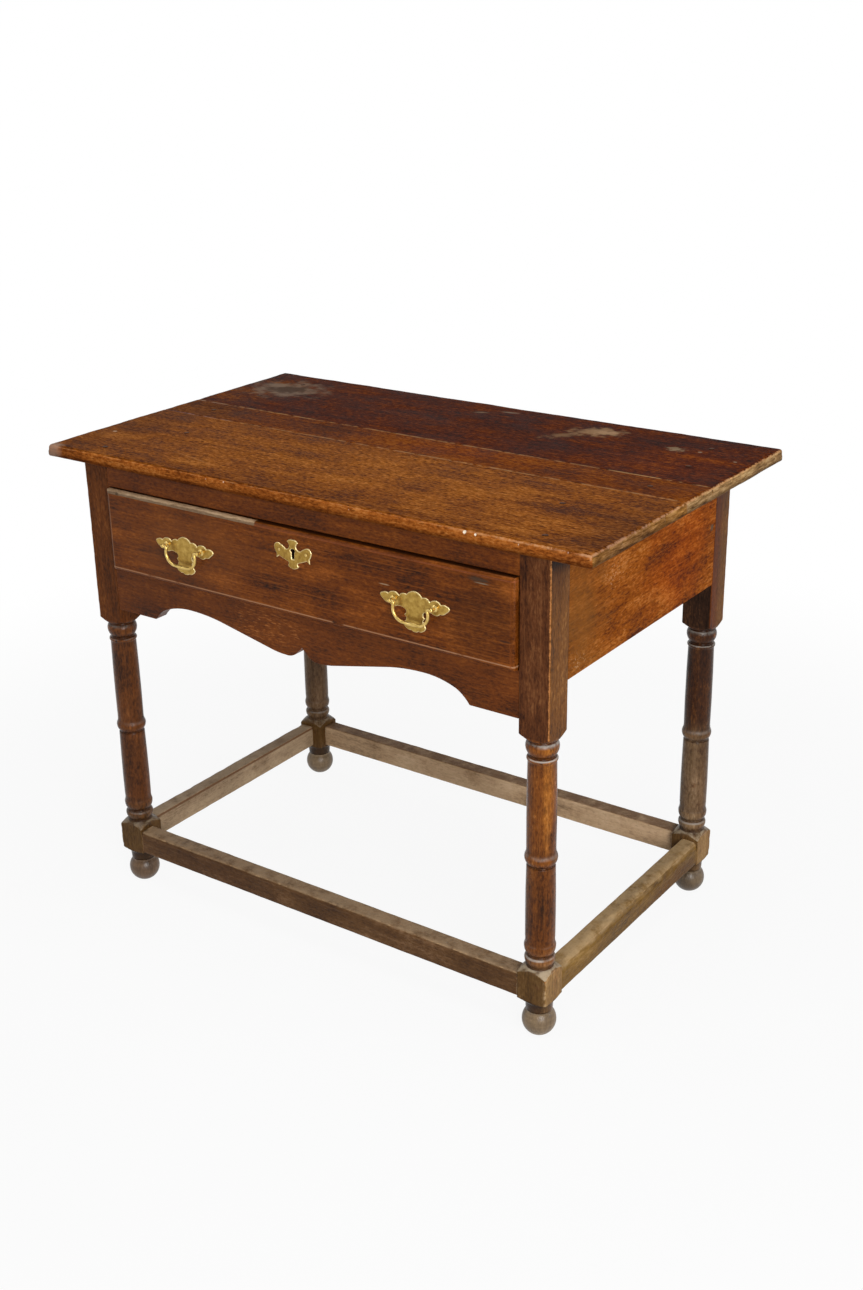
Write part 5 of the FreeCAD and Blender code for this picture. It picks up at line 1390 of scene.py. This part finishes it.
def outline_distance(points, loops):
    """Distance from each flat point to the nearest outline, and whether it lies inside."""
    points = np.asarray(points)
    nearest, inside = np.full(len(points), 1.0), np.zeros(len(points), bool)
    for loop in loops:
        for start, end in zip(loop, loop[1:] + loop[:1]):
            a, b = np.array(start), np.array(end)
            run = b - a
            share = np.clip((points - a) @ run / max(run @ run, 1e-18), 0, 1)
            nearest = np.minimum(nearest, np.linalg.norm(points - a - share[:, None] * run, axis=1))
            spans = (a[1] > points[:, 1]) != (b[1] > points[:, 1])
            slope = run[0] / (run[1] if run[1] else 1e-18)
            inside ^= spans & (points[:, 0] < a[0] + (points[:, 1] - a[1]) * slope)
    return nearest, inside


print("outlines and holes:", [len(plate_loops(node)[0]) for node in PLATES])

# %% File the plates' rims
RIM_ROUND, RIM_STEP, PLATE_STEP = 1.5 * MM, 0.36 * MM, 1.2 * MM
KEYHOLE_WORN, STEEPEST = 1.5, 0.985


def widen_keyhole(loops):
    """The keyhole is the largest hole: it is worn wider than the measured slot."""
    spans = [max(point.y for point in loop) - min(point.y for point in loop) for loop in loops]
    hole = sorted(range(len(loops)), key=lambda number: spans[number])[-2]
    middle = sum(point.x for point in loops[hole]) / len(loops[hole])
    wider = [(middle + KEYHOLE_WORN * (point.x - middle), point.y) for point in loops[hole]]
    loops[hole] = [Vector(point) for point in wider]
    print("keyhole at", round(middle * 1000, 1), "height in mm:", round(spans[hole] * 1000, 1))
    return loops


def plate_points(loops):
    """The outline's points, many inside near it, where the rim is filed, and few farther in."""
    outline = [point for loop in loops for point in loop]
    low, high = np.min(outline, axis=0), np.max(outline, axis=0)
    near = (RIM_STEP, 0.3 * RIM_STEP, RIM_ROUND + RIM_STEP)
    far = (PLATE_STEP, RIM_ROUND + 2 * RIM_STEP, 1.0)
    for step, nearest, farthest in (near, far):
        lines = [np.arange(a, b, step) for a, b in zip(low, high)]
        grid = np.stack(np.meshgrid(*lines), -1).reshape(-1, 2)
        gap, inside = outline_distance(grid, loops)
        outline += [Vector(point) for point in grid[inside & (gap > nearest) & (gap < farthest)]]
    return outline


def filed_plate(node):
    """A plate with a filed rim: a front of small triangles, a flat back and a wall between them."""
    loops, front, back = plate_loops(node)
    if node == "escutcheon":
        loops = widen_keyhole(loops)
    edges = []
    for loop in loops:
        first, size = len(edges), len(loop)
        edges += [(first + n, first + (n + 1) % size) for n in range(size)]
    flat, _, triangles, origins, _, _ = delaunay_2d_cdt(plate_points(loops), edges, [], 0, 1e-7)
    middles = [sum((flat[n] for n in triangle), Vector((0, 0))) / 3 for triangle in triangles]
    _, kept = outline_distance(middles, loops)
    triangles = [list(triangle) for triangle, keep in zip(triangles, kept) if keep]
    gap, _ = outline_distance(flat, loops)
    fall = np.clip(1 - gap / RIM_ROUND, 0, STEEPEST)
    drop = RIM_ROUND * (1 - np.sqrt(1 - fall ** 2))
    points = [(p.x, front + d, p.y) for p, d in zip(flat, drop)] + [(p.x, back, p.y) for p in flat]
    count = len(flat)
    faces = triangles + [[n + count for n in reversed(triangle)] for triangle in triangles]
    used = {origin: number for number, group in enumerate(origins) for origin in group}
    walls = [(used[a], used[b]) for a, b in edges]
    faces += [[b, a, a + count, b + count] for a, b in walls]
    rim = np.concatenate([fall, np.zeros(count)])
    piece = add_piece(node + "_filed", points, faces, {"rim": rim})
    piece.data.set_sharp_from_angle(angle=math.radians(50))
    return piece


plates = {node: filed_plate(node) for node in PLATES}
print("plate faces:", [len(piece.data.polygons) for piece in plates.values()])

# %% Brass
# the filed rims' lighter gold: polished brass and a painted highlight
RIM_GOLD_AND_HIGHLIGHT = (0.84, 0.68, 0.34)


def brass(name, dull, plain, bright, gloss):
    metal = Finish(name)
    haze = metal.noise(metal.place, 160.0, 4, 0.6)
    fine = metal.noise(metal.place, 900.0, 2)
    colour = metal.ramp(haze, [(0.3, dull), (0.5, plain), (0.7, bright)])
    colour = metal.mix(metal.step(metal.attribute("rim"), 0.1, 0.6, 0.85), colour, RIM_GOLD_AND_HIGHLIGHT)
    metal.put(metal.shader.inputs["Base Color"], colour)
    metal.shader.inputs["Metallic"].default_value = 0.85
    metal.gloss(haze, gloss[1], gloss[0])
    metal.bump(metal.maths("MULTIPLY_ADD", fine, 0.4, haze), 0.0002, 0.4)
    return metal.material


# each brass: dull, plain and bright tone, smoothest and roughest gloss
BRASSES = {
    "plate_brass": ((0.27, 0.15, 0.028), (0.40, 0.245, 0.05), (0.5, 0.325, 0.08), (0.3, 0.45)),
    "bail_brass": ((0.45, 0.29, 0.07), (0.62, 0.43, 0.13), (0.72, 0.53, 0.2), (0.28, 0.4)),
    "key_plate_brass": ((0.23, 0.12, 0.019), (0.34, 0.2, 0.036), (0.43, 0.27, 0.06), (0.3, 0.45)),
}
brasses = {name: brass(name, *plan) for name, plan in BRASSES.items()}
for node, piece in plates.items():
    kind = "key_plate_brass" if node == "escutcheon" else "plate_brass"
    stand_for(piece, node, "drawer", brasses[kind])
posts = [f"{side}_handle_{end}_post" for side in ("left", "right") for end in ("inner", "outer")]
bails = ["left_bail", "right_bail"]
dress(posts + bails + ["escutcheon_pins", "handle_nuts"], brasses["bail_brass"])

# %% Fuller bails
BAIL_FULLER = 0.6 * MM
for node in bails:
    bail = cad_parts[node]
    bail.modifiers.new("join_faces", "WELD").merge_threshold = SAME
    fuller = bail.modifiers.new("fuller_wire", "DISPLACE")
    fuller.mid_level, fuller.strength = 0.0, BAIL_FULLER
print("bails made fuller by", BAIL_FULLER / MM, "mm")

# %% Iron
iron = Finish("old_iron")
rust = iron.noise(iron.place, 240.0, 5, 0.65)
RUST_TONES = (
    (0.35, (0.035, 0.033, 0.032)), (0.55, (0.07, 0.062, 0.056)), (0.72, (0.13, 0.06, 0.03)),
)
iron.put(iron.shader.inputs["Base Color"], iron.ramp(rust, RUST_TONES))
iron.shader.inputs["Metallic"].default_value = 0.7
iron.put(iron.shader.inputs["Roughness"], iron.step(rust, 0.2, 1.0))
iron.bump(rust, 0.0002, 0.6)
dress(["lock_case", "lock_bolt"], iron.material, IRON_ARRIS)
dress(["lock_screws", "runner_nails", "drawer_nails"], iron.material)
